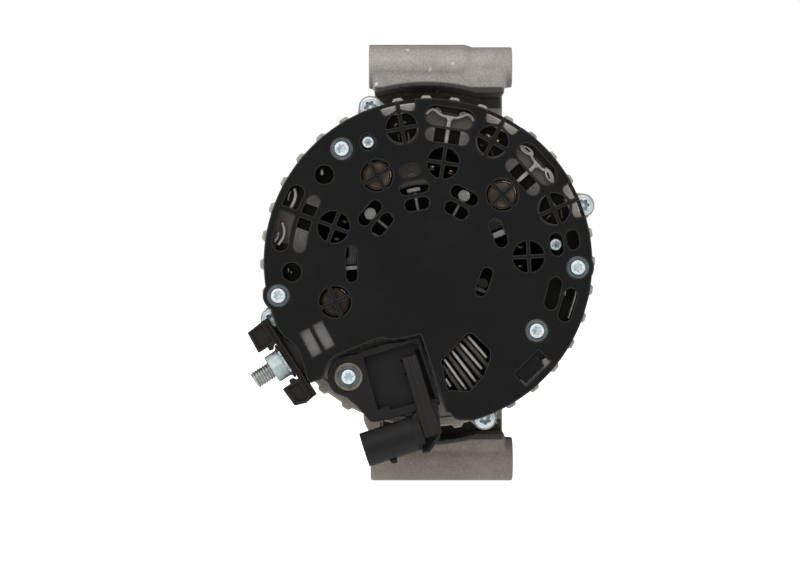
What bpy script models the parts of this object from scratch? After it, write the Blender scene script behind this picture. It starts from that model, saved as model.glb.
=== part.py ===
"""A car alternator: two cast housings round a stator, a claw-pole rotor on two ball bearings, an
overrunning belt pulley, and the rectifier, regulator and plastic cover at the rear.

+Z is up, +Y runs along the shaft towards the pulley, and the rear cover faces -Y. The origin is on
the shaft axis, midway between the two mounting tubes. Sizes below are in millimetres, and every
finished object is scaled to metres.
"""

import math

import bmesh
import bpy
from mathutils import Matrix, Vector

MM = 0.001
GAP = 0.3

# Body of the machine
BODY_R = 73.0
BODY_WALL_R = 69.0
RIB_R = 74.6
RIB_COUNT = 36
FRONT_RIB_COUNT = 18
RIB_PHASE = 0.5
BOLT_CIRCLE_R = 73.5
BOLT_ANGLES = (20.3, 110.2, 200.0, 290.2)
ROUND = 36
SMALL_ROUND = 24

# Places along the shaft, from the rear to the pulley
COVER_FACE_Y = -64.0
COVER_WALL = 2.5
COVER_END_Y = -43.1
REAR_FACE_Y = -42.0
REAR_PLATE_Y = -38.5
CORE_Y = (-16.7, 20.0)
FRONT_FACE_Y = 50.0
PULLEY_Y = (54.0, 89.0)

# Mounting tubes, one above and one below the shaft
TUBE_Z = 89.8
TUBE_R = 10.0
TUBE_BORE_R = 5.2
UPPER_TUBE_X = (-26.5, 39.1)
LOWER_TUBE_X = (-25.7, 39.4)
UPPER_TUBE_STEP_X = 18.5
UPPER_TUBE_THICK = (10.2, 0.6)
UPPER_TUBE_THIN = (9.3, 0.3)
ARM_X = (-24.0, 35.5)
ARM_PROFILE = ((-9.3, 60), (46, 60), (46, 77), (41, 80), (16, 96), (8, 98), (0, 96), (-9.3, 88))
ARM_POCKET = ((14, 110), (14, 90), (20, 88), (34, 80), (39, 75), (41, 110))
ARM_CLEARANCE_R = 81.0
ARM_FLAT_FROM = (19.0, 77.5)

# Rear cover
COVER_R = 72.0
VENT_STEP = 39.0
INNER_VENT_R = 44.2
INNER_VENT_ANGLES = tuple(3.3 + VENT_STEP * i for i in range(5)) + (203.0,)
OUTER_VENT_R = 59.8
OUTER_VENT_ANGLES = tuple(23.0 + VENT_STEP * i for i in range(3))
VENT_HOLE_R = 7.0
VENT_BAR = 1.9
COVER_SCREWS = ((62.5, 127.2), (67.1, 192.5), (65.6, -1.9), (56.2, -32.1))
SLEEVE_HOLE_R = 5.2
REGULATOR_SCREW = (61.0, 235.2)
RECTIFIER_SCREWS = ((59.0, 116.5), (56.9, 8.0))
POSITIVE_DIODE_ANGLES = (42.3, 120.3, 203.0)
NEGATIVE_DIODE_ANGLES = (3.3, 81.3, 159.3)

# Regulator, brushes and terminal: each is tilted about the shaft axis
REGULATOR_TILT = 18.0
BRUSH_ANGLE = 252.0
SLIP_RING_R = 8.0
SLIP_RING_YS = (-56.0, -48.6)
BRUSH_SIZE = (6.0, 4.4)
STUD_ANGLE = 213.0
STUD_OFFSET = 2.2
STUD_Y = -56.1
GUARD_Y = (-63.5, -48.7)

# Rotor
ROTOR_R = 49.6
SHAFT_R = 8.5
CLAW_COUNT = 6
CLAW_DISC_R = 37.5
REAR_CLAW_Y = (-15.0, -4.0)
FRONT_CLAW_Y = (8.0, 19.0)

# Pulley
PULLEY_R = 28.5
GROOVE_PITCH = 3.56
GROOVE_DEPTH = 3.0
GROOVE_COUNT = 6


# ---------------------------------------------------------------- shapes

def polar(radius, degrees):
    """A point (x, z) at this radius and angle about the shaft."""
    a = math.radians(degrees)
    return (radius * math.cos(a), radius * math.sin(a))


def arc(centre, radius, start, end, steps):
    """Points of an arc in the XZ plane, both ends included."""
    return [
        (
            centre[0] + radius * math.cos(math.radians(start + (end - start) * i / steps)),
            centre[1] + radius * math.sin(math.radians(start + (end - start) * i / steps)),
        )
        for i in range(steps + 1)
    ]


def circle(centre, radius, steps=12):
    return arc(centre, radius, 0, 360, steps)[:-1]


def slot(radius, degrees, length, width, steps=3):
    """A round-ended slot at a polar place, its length running round the shaft."""
    half = (length - width) / 2
    points = arc((0, half), width / 2, 0, 180, steps) + arc((0, -half), width / 2, 180, 360, steps)
    return turned_in_plane([(x + radius, z) for x, z in points], degrees)


def turned_in_plane(points, degrees):
    c = math.cos(math.radians(degrees))
    s = math.sin(math.radians(degrees))
    return [(x * c - z * s, x * s + z * c) for x, z in points]


def block(radius, degrees, length, width, turn=0.0):
    """A rectangle at a polar place, its length running round the shaft, turned about its middle."""
    corners = [(width / 2, -length / 2), (width / 2, length / 2), (-width / 2, length / 2), (-width / 2, -length / 2)]
    centre = polar(radius, degrees)
    return [(x + centre[0], z + centre[1]) for x, z in turned_in_plane(corners, degrees + turn)]


def ring_sector(inner, outer, start, end, steps=4):
    return arc((0, 0), outer, start, end, steps) + arc((0, 0), inner, end, start, steps)


def inset(outline, distance):
    """The outline moved inwards; it runs anticlockwise."""
    count = len(outline)
    moved = []
    for i, point in enumerate(outline):
        before = Vector(outline[i - 1])
        here = Vector(point)
        after = Vector(outline[(i + 1) % count])
        first = (here - before).normalized()
        second = (after - here).normalized()
        normal = (Vector((-first.y, first.x)) + Vector((-second.y, second.x))).normalized()
        reach = distance / max(0.5, normal.dot(Vector((-first.y, first.x))))
        moved.append(tuple(here + normal * reach))
    return moved


# ---------------------------------------------------------------- solids

def placed(bm):
    """A bmesh as a linked object, its faces pointing out."""
    bmesh.ops.recalc_face_normals(bm, faces=bm.faces[:])
    mesh = bpy.data.meshes.new("solid")
    bm.to_mesh(mesh)
    bm.free()
    obj = bpy.data.objects.new("solid", mesh)
    bpy.context.scene.collection.objects.link(obj)
    return obj


def prism(outline, start, end, holes=()):
    """An outline in the XZ plane, with holes, extruded along Y."""
    bm = bmesh.new()
    for loop in (outline, *holes):
        verts = [bm.verts.new((x, start, z)) for x, z in loop]
        for i, vert in enumerate(verts):
            bm.edges.new((vert, verts[(i + 1) % len(verts)]))
    bmesh.ops.triangle_fill(bm, edges=bm.edges[:], use_beauty=True)
    made = bmesh.ops.extrude_face_region(bm, geom=bm.faces[:], use_keep_orig=True)
    moved = [item for item in made["geom"] if isinstance(item, bmesh.types.BMVert)]
    bmesh.ops.translate(bm, verts=moved, vec=(0, end - start, 0))
    return placed(bm)


def loft(loops):
    """A solid through closed loops of 3-D points, each with the same count, capped at both ends."""
    bm = bmesh.new()
    rows = [[bm.verts.new(point) for point in loop] for loop in loops]
    count = len(rows[0])
    for lower, upper in zip(rows, rows[1:]):
        for i in range(count):
            j = (i + 1) % count
            bm.faces.new((lower[i], lower[j], upper[j], upper[i]))
    bm.faces.new(rows[0])
    bm.faces.new(rows[-1])
    return placed(bm)


def turned(profile, steps=SMALL_ROUND):
    """A closed profile of (radius, y) points turned about the Y axis."""
    bm = bmesh.new()
    rows = []
    for radius, y in profile:
        if radius == 0:
            rows.append([bm.verts.new((0, y, 0))] * steps)
            continue
        row = []
        for i in range(steps):
            x, z = polar(radius, 360 * i / steps)
            row.append(bm.verts.new((x, y, z)))
        rows.append(row)
    for k, row in enumerate(rows):
        following = rows[(k + 1) % len(rows)]
        for i in range(steps):
            j = (i + 1) % steps
            corners = [row[i], row[j], following[j], following[i]]
            corners = [v for n, v in enumerate(corners) if v not in corners[:n]]
            if len(corners) > 2:
                bm.faces.new(corners)
    return placed(bm)


def ring(inner, outer, start, end, steps=SMALL_ROUND):
    return turned([(inner, start), (outer, start), (outer, end), (inner, end)], steps)


def disc(radius, start, end, steps=SMALL_ROUND):
    return turned([(0, start), (radius, start), (radius, end), (0, end)], steps)


def box(low, high):
    bm = bmesh.new()
    bmesh.ops.create_cube(bm, size=1)
    for vert in bm.verts:
        vert.co = Vector([low[i] + (vert.co[i] + 0.5) * (high[i] - low[i]) for i in range(3)])
    return placed(bm)


def moved(obj, matrix):
    obj.data.transform(matrix)
    if matrix.determinant() < 0:
        obj.data.flip_normals()
    return obj


def at(obj, centre, y=0.0):
    """Moves a solid made about the Y axis to stand at (x, z)."""
    return moved(obj, Matrix.Translation((centre[0], y, centre[1])))


def joined(objects):
    """Several solids as one object, their bodies left as they are."""
    bm = bmesh.new()
    for obj in objects:
        bm.from_mesh(obj.data)
        bpy.data.objects.remove(obj)
    return placed(bm)


def boolean(obj, other, operation):
    modifier = obj.modifiers.new(operation.lower(), "BOOLEAN")
    modifier.operation = operation
    modifier.solver = "EXACT"
    modifier.object = other
    bpy.context.view_layer.update()
    graph = bpy.context.evaluated_depsgraph_get()
    mesh = bpy.data.meshes.new_from_object(obj.evaluated_get(graph))
    obj.modifiers.clear()
    obj.data = mesh
    bpy.data.objects.remove(other)
    return merged_flats(obj)


def merged_flats(obj):
    """Joins faces that lie in one plane, so flat areas carry no needless edges."""
    bm = bmesh.new()
    bm.from_mesh(obj.data)
    bmesh.ops.remove_doubles(bm, verts=bm.verts[:], dist=0.0005)
    bmesh.ops.dissolve_degenerate(bm, edges=bm.edges[:], dist=0.0005)
    bmesh.ops.dissolve_limit(bm, angle_limit=math.radians(0.4), verts=bm.verts[:], edges=bm.edges[:])
    bm.to_mesh(obj.data)
    bm.free()
    return obj


def cut(obj, *cutters):
    return boolean(obj, joined(cutters), "DIFFERENCE")


def union(obj, *others):
    for other in others:
        boolean(obj, other, "UNION")
    return obj


def material(name, colour, roughness, metallic):
    made = bpy.data.materials.new(name)
    made.use_nodes = True
    shader = made.node_tree.nodes["Principled BSDF"]
    shader.inputs["Base Color"].default_value = (*colour, 1.0)
    shader.inputs["Roughness"].default_value = roughness
    shader.inputs["Metallic"].default_value = metallic
    return made


def body_frame(name, place=(0.0, 0.0, 0.0)):
    """An empty on a joint's axis, which carries the pieces that move together."""
    empty = bpy.data.objects.new(name, None)
    empty.location = Vector(place) * MM
    bpy.context.scene.collection.objects.link(empty)
    return empty


def part(name, obj, look, parent=None, smooth=35.0):
    """Names a finished solid, scales it to metres and hangs it on its empty."""
    obj.name = name
    obj.data.name = name
    obj.data.transform(Matrix.Scale(MM, 4))
    obj.data.shade_smooth()
    obj.data.set_sharp_from_angle(angle=math.radians(smooth))
    obj.data.materials.clear()
    obj.data.materials.append(look)
    if parent is not None:
        obj.data.transform(Matrix.Translation(-parent.location))
        obj.parent = parent
    return obj


# ---------------------------------------------------------------- housings

def ribbed_wall(start, end, window, count):
    """The round wall of a housing with ribs along it, and an air outlet between each pair of ribs."""
    outline = []
    rib_half = math.degrees(2.1 / RIB_R)
    for i in range(count):
        middle = 360 * i / count + RIB_PHASE
        outline += [polar(BODY_R, middle - rib_half - 0.3), polar(RIB_R, middle - rib_half + 0.3)]
        outline += [polar(RIB_R, middle + rib_half - 0.3), polar(BODY_R, middle + rib_half + 0.3)]
    wall = prism(outline, start, end, holes=[circle((0, 0), BODY_WALL_R, count)])
    outlets = []
    width = 2 * math.pi * BODY_R / count - 6.4
    for i in range(count):
        outlets.append(prism(block(BODY_R, 360 * (i + 0.5) / count + RIB_PHASE, width, 12), *window))
    return cut(wall, *outlets)


def bolt_ears(start, end, radius=5.4):
    return [at(disc(radius, start, end, 14), polar(BOLT_CIRCLE_R, a)) for a in BOLT_ANGLES]


def bolt_holes(start, end, radius):
    return [at(disc(radius, start, end, 8), polar(BOLT_CIRCLE_R, a)) for a in BOLT_ANGLES]


def screw_holes(places, radius, start, end, steps=8):
    return [at(disc(radius, start, end, steps), polar(*place)) for place in places]


def rear_housing():
    plate = turned([
        (11, -43.5), (24, -43.5), (26, REAR_FACE_Y), (70.6, REAR_FACE_Y), (70.6, REAR_PLATE_Y),
        (21, REAR_PLATE_Y), (21, -29.5), (17.8, -29.5), (17.8, -41.6), (11, -41.6),
    ], ROUND)
    wall = ribbed_wall(-42.8, -17, (-37.5, -22), RIB_COUNT)
    housing = union(wall, plate, *bolt_ears(-43, -17.3))
    windows = [prism(ring_sector(27, 37, a - 14, a + 14, 2), -60, -30) for a in range(0, 360, 40)]
    seats = [at(disc(5.8, -50, -30, 12), polar(INNER_VENT_R, a)) for a in NEGATIVE_DIODE_ANGLES]
    return cut(
        housing, *windows, *seats, *bolt_holes(-60, 0, 2.8),
        *screw_holes((*COVER_SCREWS, REGULATOR_SCREW), 2.6, -60, -30),
        *screw_holes(RECTIFIER_SCREWS, 2.2, -60, -30),
    )


def across(outline, start, end):
    """An outline of (y, z) points extruded along X."""
    return moved(prism(outline, -end, -start), Matrix.Rotation(math.radians(90), 4, "Z"))


def bolt_tube(start, end, radius, rise=0.0):
    """A length of mounting tube along X, its outside a little off the bore's centre if it has a rise."""
    tube = disc(radius, start, end, 24)
    turn = Matrix.Rotation(math.radians(-90), 4, "Z")
    return moved(tube, Matrix.Translation((0, 0, TUBE_Z + rise)) @ turn)


def mounting_arm(side):
    """One arm of the front housing, with its bolt tube; side is 1 above the shaft and -1 below.
    The arm reaches back over the stator, its edge an arc that ends in a flat at the right, with two
    pockets between its three webs. The upper tube steps down to a thinner length at its right end."""
    arm = across(ARM_PROFILE, *ARM_X)
    over_stator = disc(ARM_CLEARANCE_R, -30, 20.9, 48)
    inside = disc(BODY_WALL_R + 1, 0, 43, ROUND)
    middle = (ARM_X[0] + ARM_X[1]) / 2
    pockets = [
        across(ARM_POCKET, ARM_X[0] + 5, middle - 2.5),
        across(ARM_POCKET, middle + 2.5, ARM_X[1] - 5),
    ]
    arm = cut(arm, over_stator)
    arm = cut(arm, box((ARM_FLAT_FROM[0], -30, 50), (60, 20.9, ARM_FLAT_FROM[1])))
    arm = cut(arm, inside)
    arm = cut(arm, *pockets)
    if side < 0:
        arm = union(arm, bolt_tube(*LOWER_TUBE_X, TUBE_R))
        return moved(arm, Matrix.Scale(-1, 4, (0, 0, 1)))
    thick = bolt_tube(UPPER_TUBE_X[0], UPPER_TUBE_STEP_X, *UPPER_TUBE_THICK)
    return union(arm, thick, bolt_tube(UPPER_TUBE_STEP_X - 1.0, UPPER_TUBE_X[1], *UPPER_TUBE_THIN))


def front_housing():
    plate = turned([
        (70.6, 42), (67, 47.5), (36, FRONT_FACE_Y), (33, 53), (19, 53), (19, 49.3), (23.7, 49.3),
        (23.7, 32.5), (33, 32.5), (34, 46), (64, 43.5), (68, 39.5), (70.6, 39.5),
    ], ROUND)
    wall = ribbed_wall(20.3, 42.5, (25, 38), FRONT_RIB_COUNT)
    housing = union(wall, plate, *bolt_ears(20.6, 44))
    for side in (1, -1):
        housing = union(housing, mounting_arm(side))
    windows = [prism(ring_sector(40.5, 59.5, a - 10.5, a + 10.5, 2), 40, 60) for a in range(0, 360, 36)]
    bores = []
    for z in (TUBE_Z, -TUBE_Z):
        bore = disc(TUBE_BORE_R, -60, 60, 16)
        bores.append(moved(bore, Matrix.Translation((0, 0, z)) @ Matrix.Rotation(math.radians(90), 4, "Z")))
    return cut(housing, *windows, *bores, *bolt_holes(0, 60, 2.7), *screw_holes(RETAINER_SCREWS, 2.4, 20, 43))


# ---------------------------------------------------------------- stator

SLOT_COUNT = 36
CORE_R = 70.8
CORE_BORE_R = 50.3
SLOT_END_R = 64.0


def stator_core():
    bore = []
    for i in range(SLOT_COUNT):
        middle = 360 * (i + 0.5) / SLOT_COUNT
        bore += [polar(CORE_BORE_R, middle - 7.4), polar(CORE_BORE_R, middle - 2.6)]
        bore += [polar(SLOT_END_R, middle - 2.3), polar(SLOT_END_R, middle + 2.3)]
    return prism(circle((0, 0), CORE_R, ROUND), *CORE_Y, holes=[bore])


def stator_winding():
    """Both end turns, and a bar through each slot."""
    rear = turned([(53, -18.2), (54.5, -31.5), (64.5, -31.5), (66, -18.2)], ROUND)
    front = turned([(53, 21.5), (54.5, 34.5), (64.5, 34.5), (66, 21.5)], ROUND)
    bars = joined([
        prism(block(58.5, 360 * (i + 0.5) / SLOT_COUNT, 3.2, 7.0), -24, 27) for i in range(SLOT_COUNT)
    ])
    return union(rear, bars, front)


# ---------------------------------------------------------------- rotor

def claw_pole(disc_y, tip_y, first_angle):
    """Half of the rotor: a disc with tapering fingers that reach over the coil."""
    near, far = disc_y if tip_y > disc_y[1] else disc_y[::-1]
    half = ring(SHAFT_R + 0.2, CLAW_DISC_R, *disc_y)
    fingers = []
    for i in range(CLAW_COUNT):
        middle = first_angle + 360 * i / CLAW_COUNT
        loops = []
        for y, inner, outer, spread in (
            (near, 35.8, ROTOR_R - 3, 11.5), (near + (far - near) * 0.3, 35.8, ROTOR_R, 11.5),
            (far, 36.2, ROTOR_R, 11.0), (tip_y, 45.0, ROTOR_R, 4.8),
        ):
            section = arc((0, 0), outer, middle - spread, middle + spread, 3)
            section += arc((0, 0), inner, middle + spread, middle - spread, 3)
            loops.append([(x, y, z) for x, z in section])
        fingers.append(loft(loops))
    return union(half, joined(fingers))


def cooling_fan(face_y, tip_y, blades=9):
    """A sheet disc with swept blades bent up towards tip_y."""
    side = 1 if tip_y > face_y else -1
    sheet = ring(SHAFT_R + 0.4, 40, *sorted((face_y, face_y + side * 1.2)))
    strips = []
    for i in range(blades):
        start = 360 * i / blades
        outer = [polar(24 + 21 * t, start + 26 * t) for t in (0, 0.34, 0.67, 1)]
        inner = [polar(24.3 + 21 * t, start + 26 * t + 2.4 - t) for t in (1, 0.67, 0.34, 0)]
        strips.append(prism(outer + inner, *sorted((face_y + side * 0.5, tip_y))))
    return union(sheet, joined(strips))


def rotor_shaft():
    return turned([
        (0, -60.5), (4.2, -60.5), (4.6, -60), (4.6, -44), (7.4, -44), (7.4, -28.5), (SHAFT_R, -28.5),
        (SHAFT_R, 21.2), (11.5, 21.2), (12, 32.7), (SHAFT_R, 32.7), (SHAFT_R, 83), (7.5, 84), (0, 84),
    ], 20)


def slip_ring(y):
    return ring(6.9, SLIP_RING_R, y - 2.6, y + 2.6)


def slip_ring_carrier():
    return turned([
        (4.9, -60), (6.6, -60), (6.6, -45.4), (9.2, -45.4), (9.2, -44.3), (4.9, -44.3),
    ], 24)


def ball_cage(pitch_r, ball_r, y, count):
    """A bearing's balls in their cage, as one piece."""
    cage = ring(pitch_r - 0.9, pitch_r + 0.9, y - ball_r * 0.7, y + ball_r * 0.7, 16)
    balls = []
    for i in range(count):
        bm = bmesh.new()
        bmesh.ops.create_uvsphere(bm, u_segments=6, v_segments=4, radius=ball_r)
        x, z = polar(pitch_r, 360 * (i + 0.5) / count)
        balls.append(moved(placed(bm), Matrix.Translation((x, y, z))))
    return union(cage, joined(balls))


# ---------------------------------------------------------------- bearing retainer

RETAINER_SCREWS = ((28.6, 30.0), (28.6, 150.0), (28.6, 270.0))


def bearing_retainer():
    plate = ring(17, 32.5, 31.0, 32.2)
    return cut(plate, *screw_holes(RETAINER_SCREWS, 2.4, 20, 40))


def fastener(head_r, head_y, seat_y, shank_r, end_y, sides=12):
    """A screw or bolt along +Y, from its head's outer face to its tip."""
    return turned([
        (0, head_y), (head_r * 0.86, head_y), (head_r, head_y + 0.5), (head_r, seat_y),
        (shank_r, seat_y), (shank_r, end_y), (0, end_y),
    ], sides)


# ---------------------------------------------------------------- pulley

def pulley_ring():
    profile = [(17.2, PULLEY_Y[0]), (29.4, PULLEY_Y[0]), (29.6, PULLEY_Y[0] + 2.4)]
    first = PULLEY_Y[0] + 4.4
    for i in range(GROOVE_COUNT):
        y = first + GROOVE_PITCH * i
        profile += [(PULLEY_R, y), (PULLEY_R - GROOVE_DEPTH, y + GROOVE_PITCH * 0.5)]
    last = first + GROOVE_PITCH * GROOVE_COUNT
    profile += [(PULLEY_R, last), (29.6, last + 1.6), (29.4, last + 4.0), (23.5, last + 4.6),
                (22.5, PULLEY_Y[1]), (17.2, PULLEY_Y[1])]
    return turned(profile)


# ---------------------------------------------------------------- rear cover

def cover_outline():
    """The plate's edge, anticlockwise: the round side, the flat beside the terminal, then the bay
    for the regulator and its slanted right side."""
    bay_side = polar(1, -72)
    corner = (-3.2, -31.6)
    foot = (corner[0] + bay_side[0] * 35.5, corner[1] + bay_side[1] * 35.5)
    edge = arc((0, 0), COVER_R, -74.0, -6.2, 12)
    edge += arc(polar(*COVER_SCREWS[2]), 7.2, -31.0, 27.2, 3)
    edge += arc((0, 0), COVER_R, 2.4, 188.4, 32)
    edge += arc(polar(*COVER_SCREWS[1]), 6.9, 145.7, 239.3, 6)
    edge += arc((0, 0), COVER_R, 196.6, 204.5, 2)
    edge += [(-52.6, -53.4), (-46.2, -50.9)]
    edge += arc(polar(61.0, 235.2), 10.6, 172, 118, 4)
    edge += [(-32.4, -37.6), (-20.4, -32.8), (-17.6, -34.0), (-12.0, -33.6)]
    edge += [corner, foot]
    edge += arc((14.4, -64.6), 4.6, 200, 268, 4)
    return edge


def cross_vent(radius, degrees):
    """Four quadrants of a round hole, left by a cross that stands square to the shaft."""
    half = VENT_BAR / 2
    gap = math.degrees(math.asin(half / VENT_HOLE_R))
    found = []
    for quarter in range(4):
        start = quarter * 90
        points = arc((0, 0), VENT_HOLE_R, start + gap, start + 90 - gap, 3)
        corner = turned_in_plane([(half, half)], start)
        placed_points = turned_in_plane([(x, z) for x, z in points + corner], degrees)
        cx, cz = polar(radius, degrees)
        found.append([(x + cx, z + cz) for x, z in placed_points])
    return found


def cover_slots():
    """The round-ended slots: (radius, angle, length, width)."""
    places = [(33.4, 22.5 + VENT_STEP * i, 12.8, 5.4) for i in range(4)] + [(33.5, 181.2, 15.8, 4.9)]
    places += [(26.0, 61.5, 11.0, 5.2), (26.0, 100.5, 11.0, 5.2), (26.0, 140.0, 11.5, 5.4), (26.0, -19.2, 13.0, 4.8)]
    places += [(64.2, a, 21.5, 8.2) for a in (42.3, 81.3)] + [(56.0, a, 19.5, 5.8) for a in (42.3, 81.3)]
    places += [(41.1, 101.3, 8.9, 5.2), (56.9, 8.0, 10.0, 5.6), (64.2, 9.0, 8.8, 5.2)]
    places += [(56.5, -13.9, 14.4, 5.7), (64.0, -16.9, 14.9, 5.7)]
    return [slot(*place) for place in places]


def half_slot(radius, flat, tip, width):
    """A curved slot that is flat across at one angle and round at the other."""
    half = width / 2
    turn = math.copysign(1, tip - flat)
    last = tip - turn * math.degrees(half / radius)
    along = [flat + (last - flat) * i / 3 for i in range(4)]
    cap = arc(polar(radius, last), half, last, last + turn * 180, 6)[1:-1]
    return [polar(radius + half, a) for a in along] + cap + [polar(radius - half, a) for a in reversed(along)]


def barred_slots():
    """The pair of curved slots at the left, each split in two by a bar nearer its upper end."""
    found = []
    for radius, width in ((65.2, 6.6), (56.8, 5.4)):
        found += [half_slot(radius, 158.3, 149.3, width), half_slot(radius, 160.5, 175.4, width)]
    return found


def rim_windows():
    """The openings in the rim beside each outer vent, left and right of its radial bar."""
    found = []
    for a in OUTER_VENT_ANGLES:
        for side in (1, -1):
            edge = [polar(70.3, a + side * 0.9), polar(70.3, a + side * 6.4), polar(68.2, a + side * 6.1)]
            edge += [polar(67.0, a + side * 5.2), polar(67.0, a + side * 3.9), polar(68.1, a + side * 0.9)]
            found.append(edge)
    return found


def cover_openings():
    holes = cover_slots() + barred_slots() + rim_windows()
    for a in INNER_VENT_ANGLES:
        holes += cross_vent(INNER_VENT_R, a)
    for a in OUTER_VENT_ANGLES:
        holes += cross_vent(OUTER_VENT_R, a)
    holes += [circle(polar(r, a), size) for r, a, size in ((59.0, 116.5, 3.6), (59.5, 139.8, 4.1), (59.8, 184.0, 4.1))]
    holes += [block(62.3, 214.4, 12.0, 4.8, -6.5), block(55.8, 214.9, 12.0, 4.8, -6.5)]
    holes += [[(17.2, -31.3), (19.4, -31.3), (27.1, -38.4), (27.1, -42.1), (24.4, -49.3), (18.0, -56.3), (8.8, -55.8), (5.7, -43.2)]]
    holes += [block(64.9, -45.1, 12.3, 2.2), block(60.2, -38.6, 2.6, 6.2)]
    return holes


def rear_cover():
    outline = cover_outline()
    shell = prism(outline, COVER_FACE_Y, COVER_FACE_Y + COVER_WALL, holes=cover_openings())
    skirt = prism(inset(outline, 0.7), COVER_FACE_Y + COVER_WALL - 0.6, COVER_END_Y, holes=[inset(outline, 2.6)])
    bosses = [at(disc(6.1, COVER_FACE_Y + COVER_WALL - 0.7, COVER_END_Y - 0.2, 12), polar(*s)) for s in COVER_SCREWS]
    shell = union(shell, skirt, *bosses)
    stud_gap = along_stud(disc(5.2, 60, 90, 12))
    brush_gap = prism(block(23.0, BRUSH_ANGLE, 15.8, 32), COVER_FACE_Y + COVER_WALL + 0.2, -40)
    bolt_gaps = [at(disc(5.2, -49.6, -40, 10), polar(BOLT_CIRCLE_R, a)) for a in BOLT_ANGLES]
    shell = cut(shell, *bolt_gaps)
    return cut(shell, stud_gap, brush_gap, *screw_holes(COVER_SCREWS, SLEEVE_HOLE_R, -80, -30, 16))


# ---------------------------------------------------------------- terminal

def along_stud(obj):
    """Turns a solid made along +Y to lie along the terminal stud."""
    outward = Vector((math.cos(math.radians(STUD_ANGLE)), 0, math.sin(math.radians(STUD_ANGLE))))
    along = Vector((-outward.z, 0, outward.x))
    offset = along * STUD_OFFSET
    basis = Matrix((along, outward, Vector((0, 1, 0)))).transposed().to_4x4()
    return moved(obj, Matrix.Translation((offset.x, STUD_Y, offset.z)) @ basis)


def terminal_guard():
    """A U-shaped insulator: a base plate under the nut and an ear on each side."""
    u = [(-18, 73.2), (22, 73.2), (22, 83), (11.7, 83), (11.7, 75.4), (-7.0, 75.4), (-7.0, 83), (-18, 83)]
    outward = polar(1, STUD_ANGLE)
    along = (-outward[1], outward[0])
    outline = [(t * along[0] + n * outward[0], t * along[1] + n * outward[1]) for t, n in u]
    return cut(prism(outline, *GUARD_Y), along_stud(disc(4.4, 60, 90, 16)))


def stud():
    return along_stud(turned([
        (0, 56.3), (5.0, 56.3), (5.0, 60), (3.95, 60), (3.95, 90.8), (3.2, 91.6), (0, 91.6),
    ], 20))


def stud_nut():
    hexagon = circle((0, 0), 13 / math.sqrt(3), 6)
    nut = prism(hexagon, 76.6, 83.2)
    nut = union(nut, disc(8.0, 75.7, 76.9, 20))
    return along_stud(cut(nut, disc(4.3, 70, 90, 20)))


# ---------------------------------------------------------------- rectifier

def heatsink():
    plate = prism(ring_sector(33.5, 53.4, -20, 222, 18), -54, -50.2)
    tab = along_stud(box((-8, 44, -4), (4, 56, 4)))
    holes = [at(disc(5.8, -80, -30, 16), polar(INNER_VENT_R, a)) for a in POSITIVE_DIODE_ANGLES]
    wells = [at(disc(7.2, -80, -30, 16), polar(INNER_VENT_R, a)) for a in NEGATIVE_DIODE_ANGLES]
    return cut(union(plate, tab), *holes, *wells)


def connection_plate():
    plate = prism(ring_sector(33.5, 53.4, -20, 222, 18), -49.8, -46.2)
    wells = [at(disc(6.8, -80, -30, 16), polar(INNER_VENT_R, a)) for a in NEGATIVE_DIODE_ANGLES]
    return cut(plate, *wells)


def diode(place, rim_y, base_y):
    return at(turned([
        (0, rim_y), (4.6, rim_y), (5.0, rim_y + 0.5), (5.0, rim_y + 2.2), (5.5, rim_y + 2.2), (5.5, base_y),
        (0, base_y),
    ], 12), place)


# ---------------------------------------------------------------- regulator

def tilted(points):
    """From the regulator's own (across, up) directions to (x, z)."""
    return turned_in_plane(points, REGULATOR_TILT)


def regulator_body():
    outline = [(-45.2, -49.7)] + arc(polar(61.0, 235.2), 9.3, 185, 215, 3)
    outline += [(-26.5, -69.9), (-21.4, -69.8), (-4.6, -65.4), (5.0, -62.4), (-4.4, -33.6), (-14.5, -36.6)]
    outline += [(-20.5, -36.2), (-31.2, -40.2)]
    outline += arc(polar(61.0, 235.2), 9.3, 95, 150, 3)
    outline = outline[1:]
    body = prism(outline, -61.2, -46.5)
    holder = block(23.0, BRUSH_ANGLE, 15.0, 25.0)
    body = union(body, prism(holder, -60.9, -44.2))
    pocket = tilted([(-29.4, -60.6), (-11.6, -60.6), (-11.6, -39.0), (-29.4, -39.0)])
    arm = tilted([(-23.9, -73.5), (-16.9, -73.5), (-16.9, -36.6), (-23.9, -36.6)])
    arm_solid = prism(arm, -65.5, -60.4)
    elbow = prism(tilted([(-27.6, -77.0), (-17.5, -74.6), (-16.0, -66.5), (-27.6, -64.0)]), -65.5, -51.5)
    barrel = moved(disc(7.7, 0, 27, 24), connector_frame())
    neck = prism(tilted([(-27, -71), (-17, -71), (-17, -58), (-27, -58)]), -60.0, -52.5)
    channels = [prism(block(19.5, BRUSH_ANGLE, BRUSH_SIZE[0] + 2 * GAP, 27.0), y - 2.5, y + 2.5) for y in SLIP_RING_YS]
    body = cut(body, prism(pocket, -70, -57.0))
    body = union(body, elbow, neck, arm_solid, barrel)
    mouth = moved(disc(6.1, -2, 15, 20), connector_frame())
    return cut(body, mouth, *channels, at(disc(SLEEVE_HOLE_R, -80, -30, 16), polar(*REGULATOR_SCREW)))


def connector_frame():
    """The plug socket's own frame: its mouth at the origin, its inside along +Y."""
    mouth = (-27.4, -82.4)
    direction = polar(1, REGULATOR_TILT)
    inward = Vector((direction[0], 0, direction[1]))
    basis = Matrix((Vector((0, 1, 0)), inward, Vector((0, 1, 0)).cross(inward))).transposed()
    return Matrix.Translation((mouth[0], -58.0, mouth[1])) @ basis.to_4x4()


def brush(y):
    start, end = SLIP_RING_R + 0.4, 22.0
    middle = (start + end) / 2
    return prism(block(middle, BRUSH_ANGLE, BRUSH_SIZE[0], end - start), y - BRUSH_SIZE[1] / 2, y + BRUSH_SIZE[1] / 2)


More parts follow.
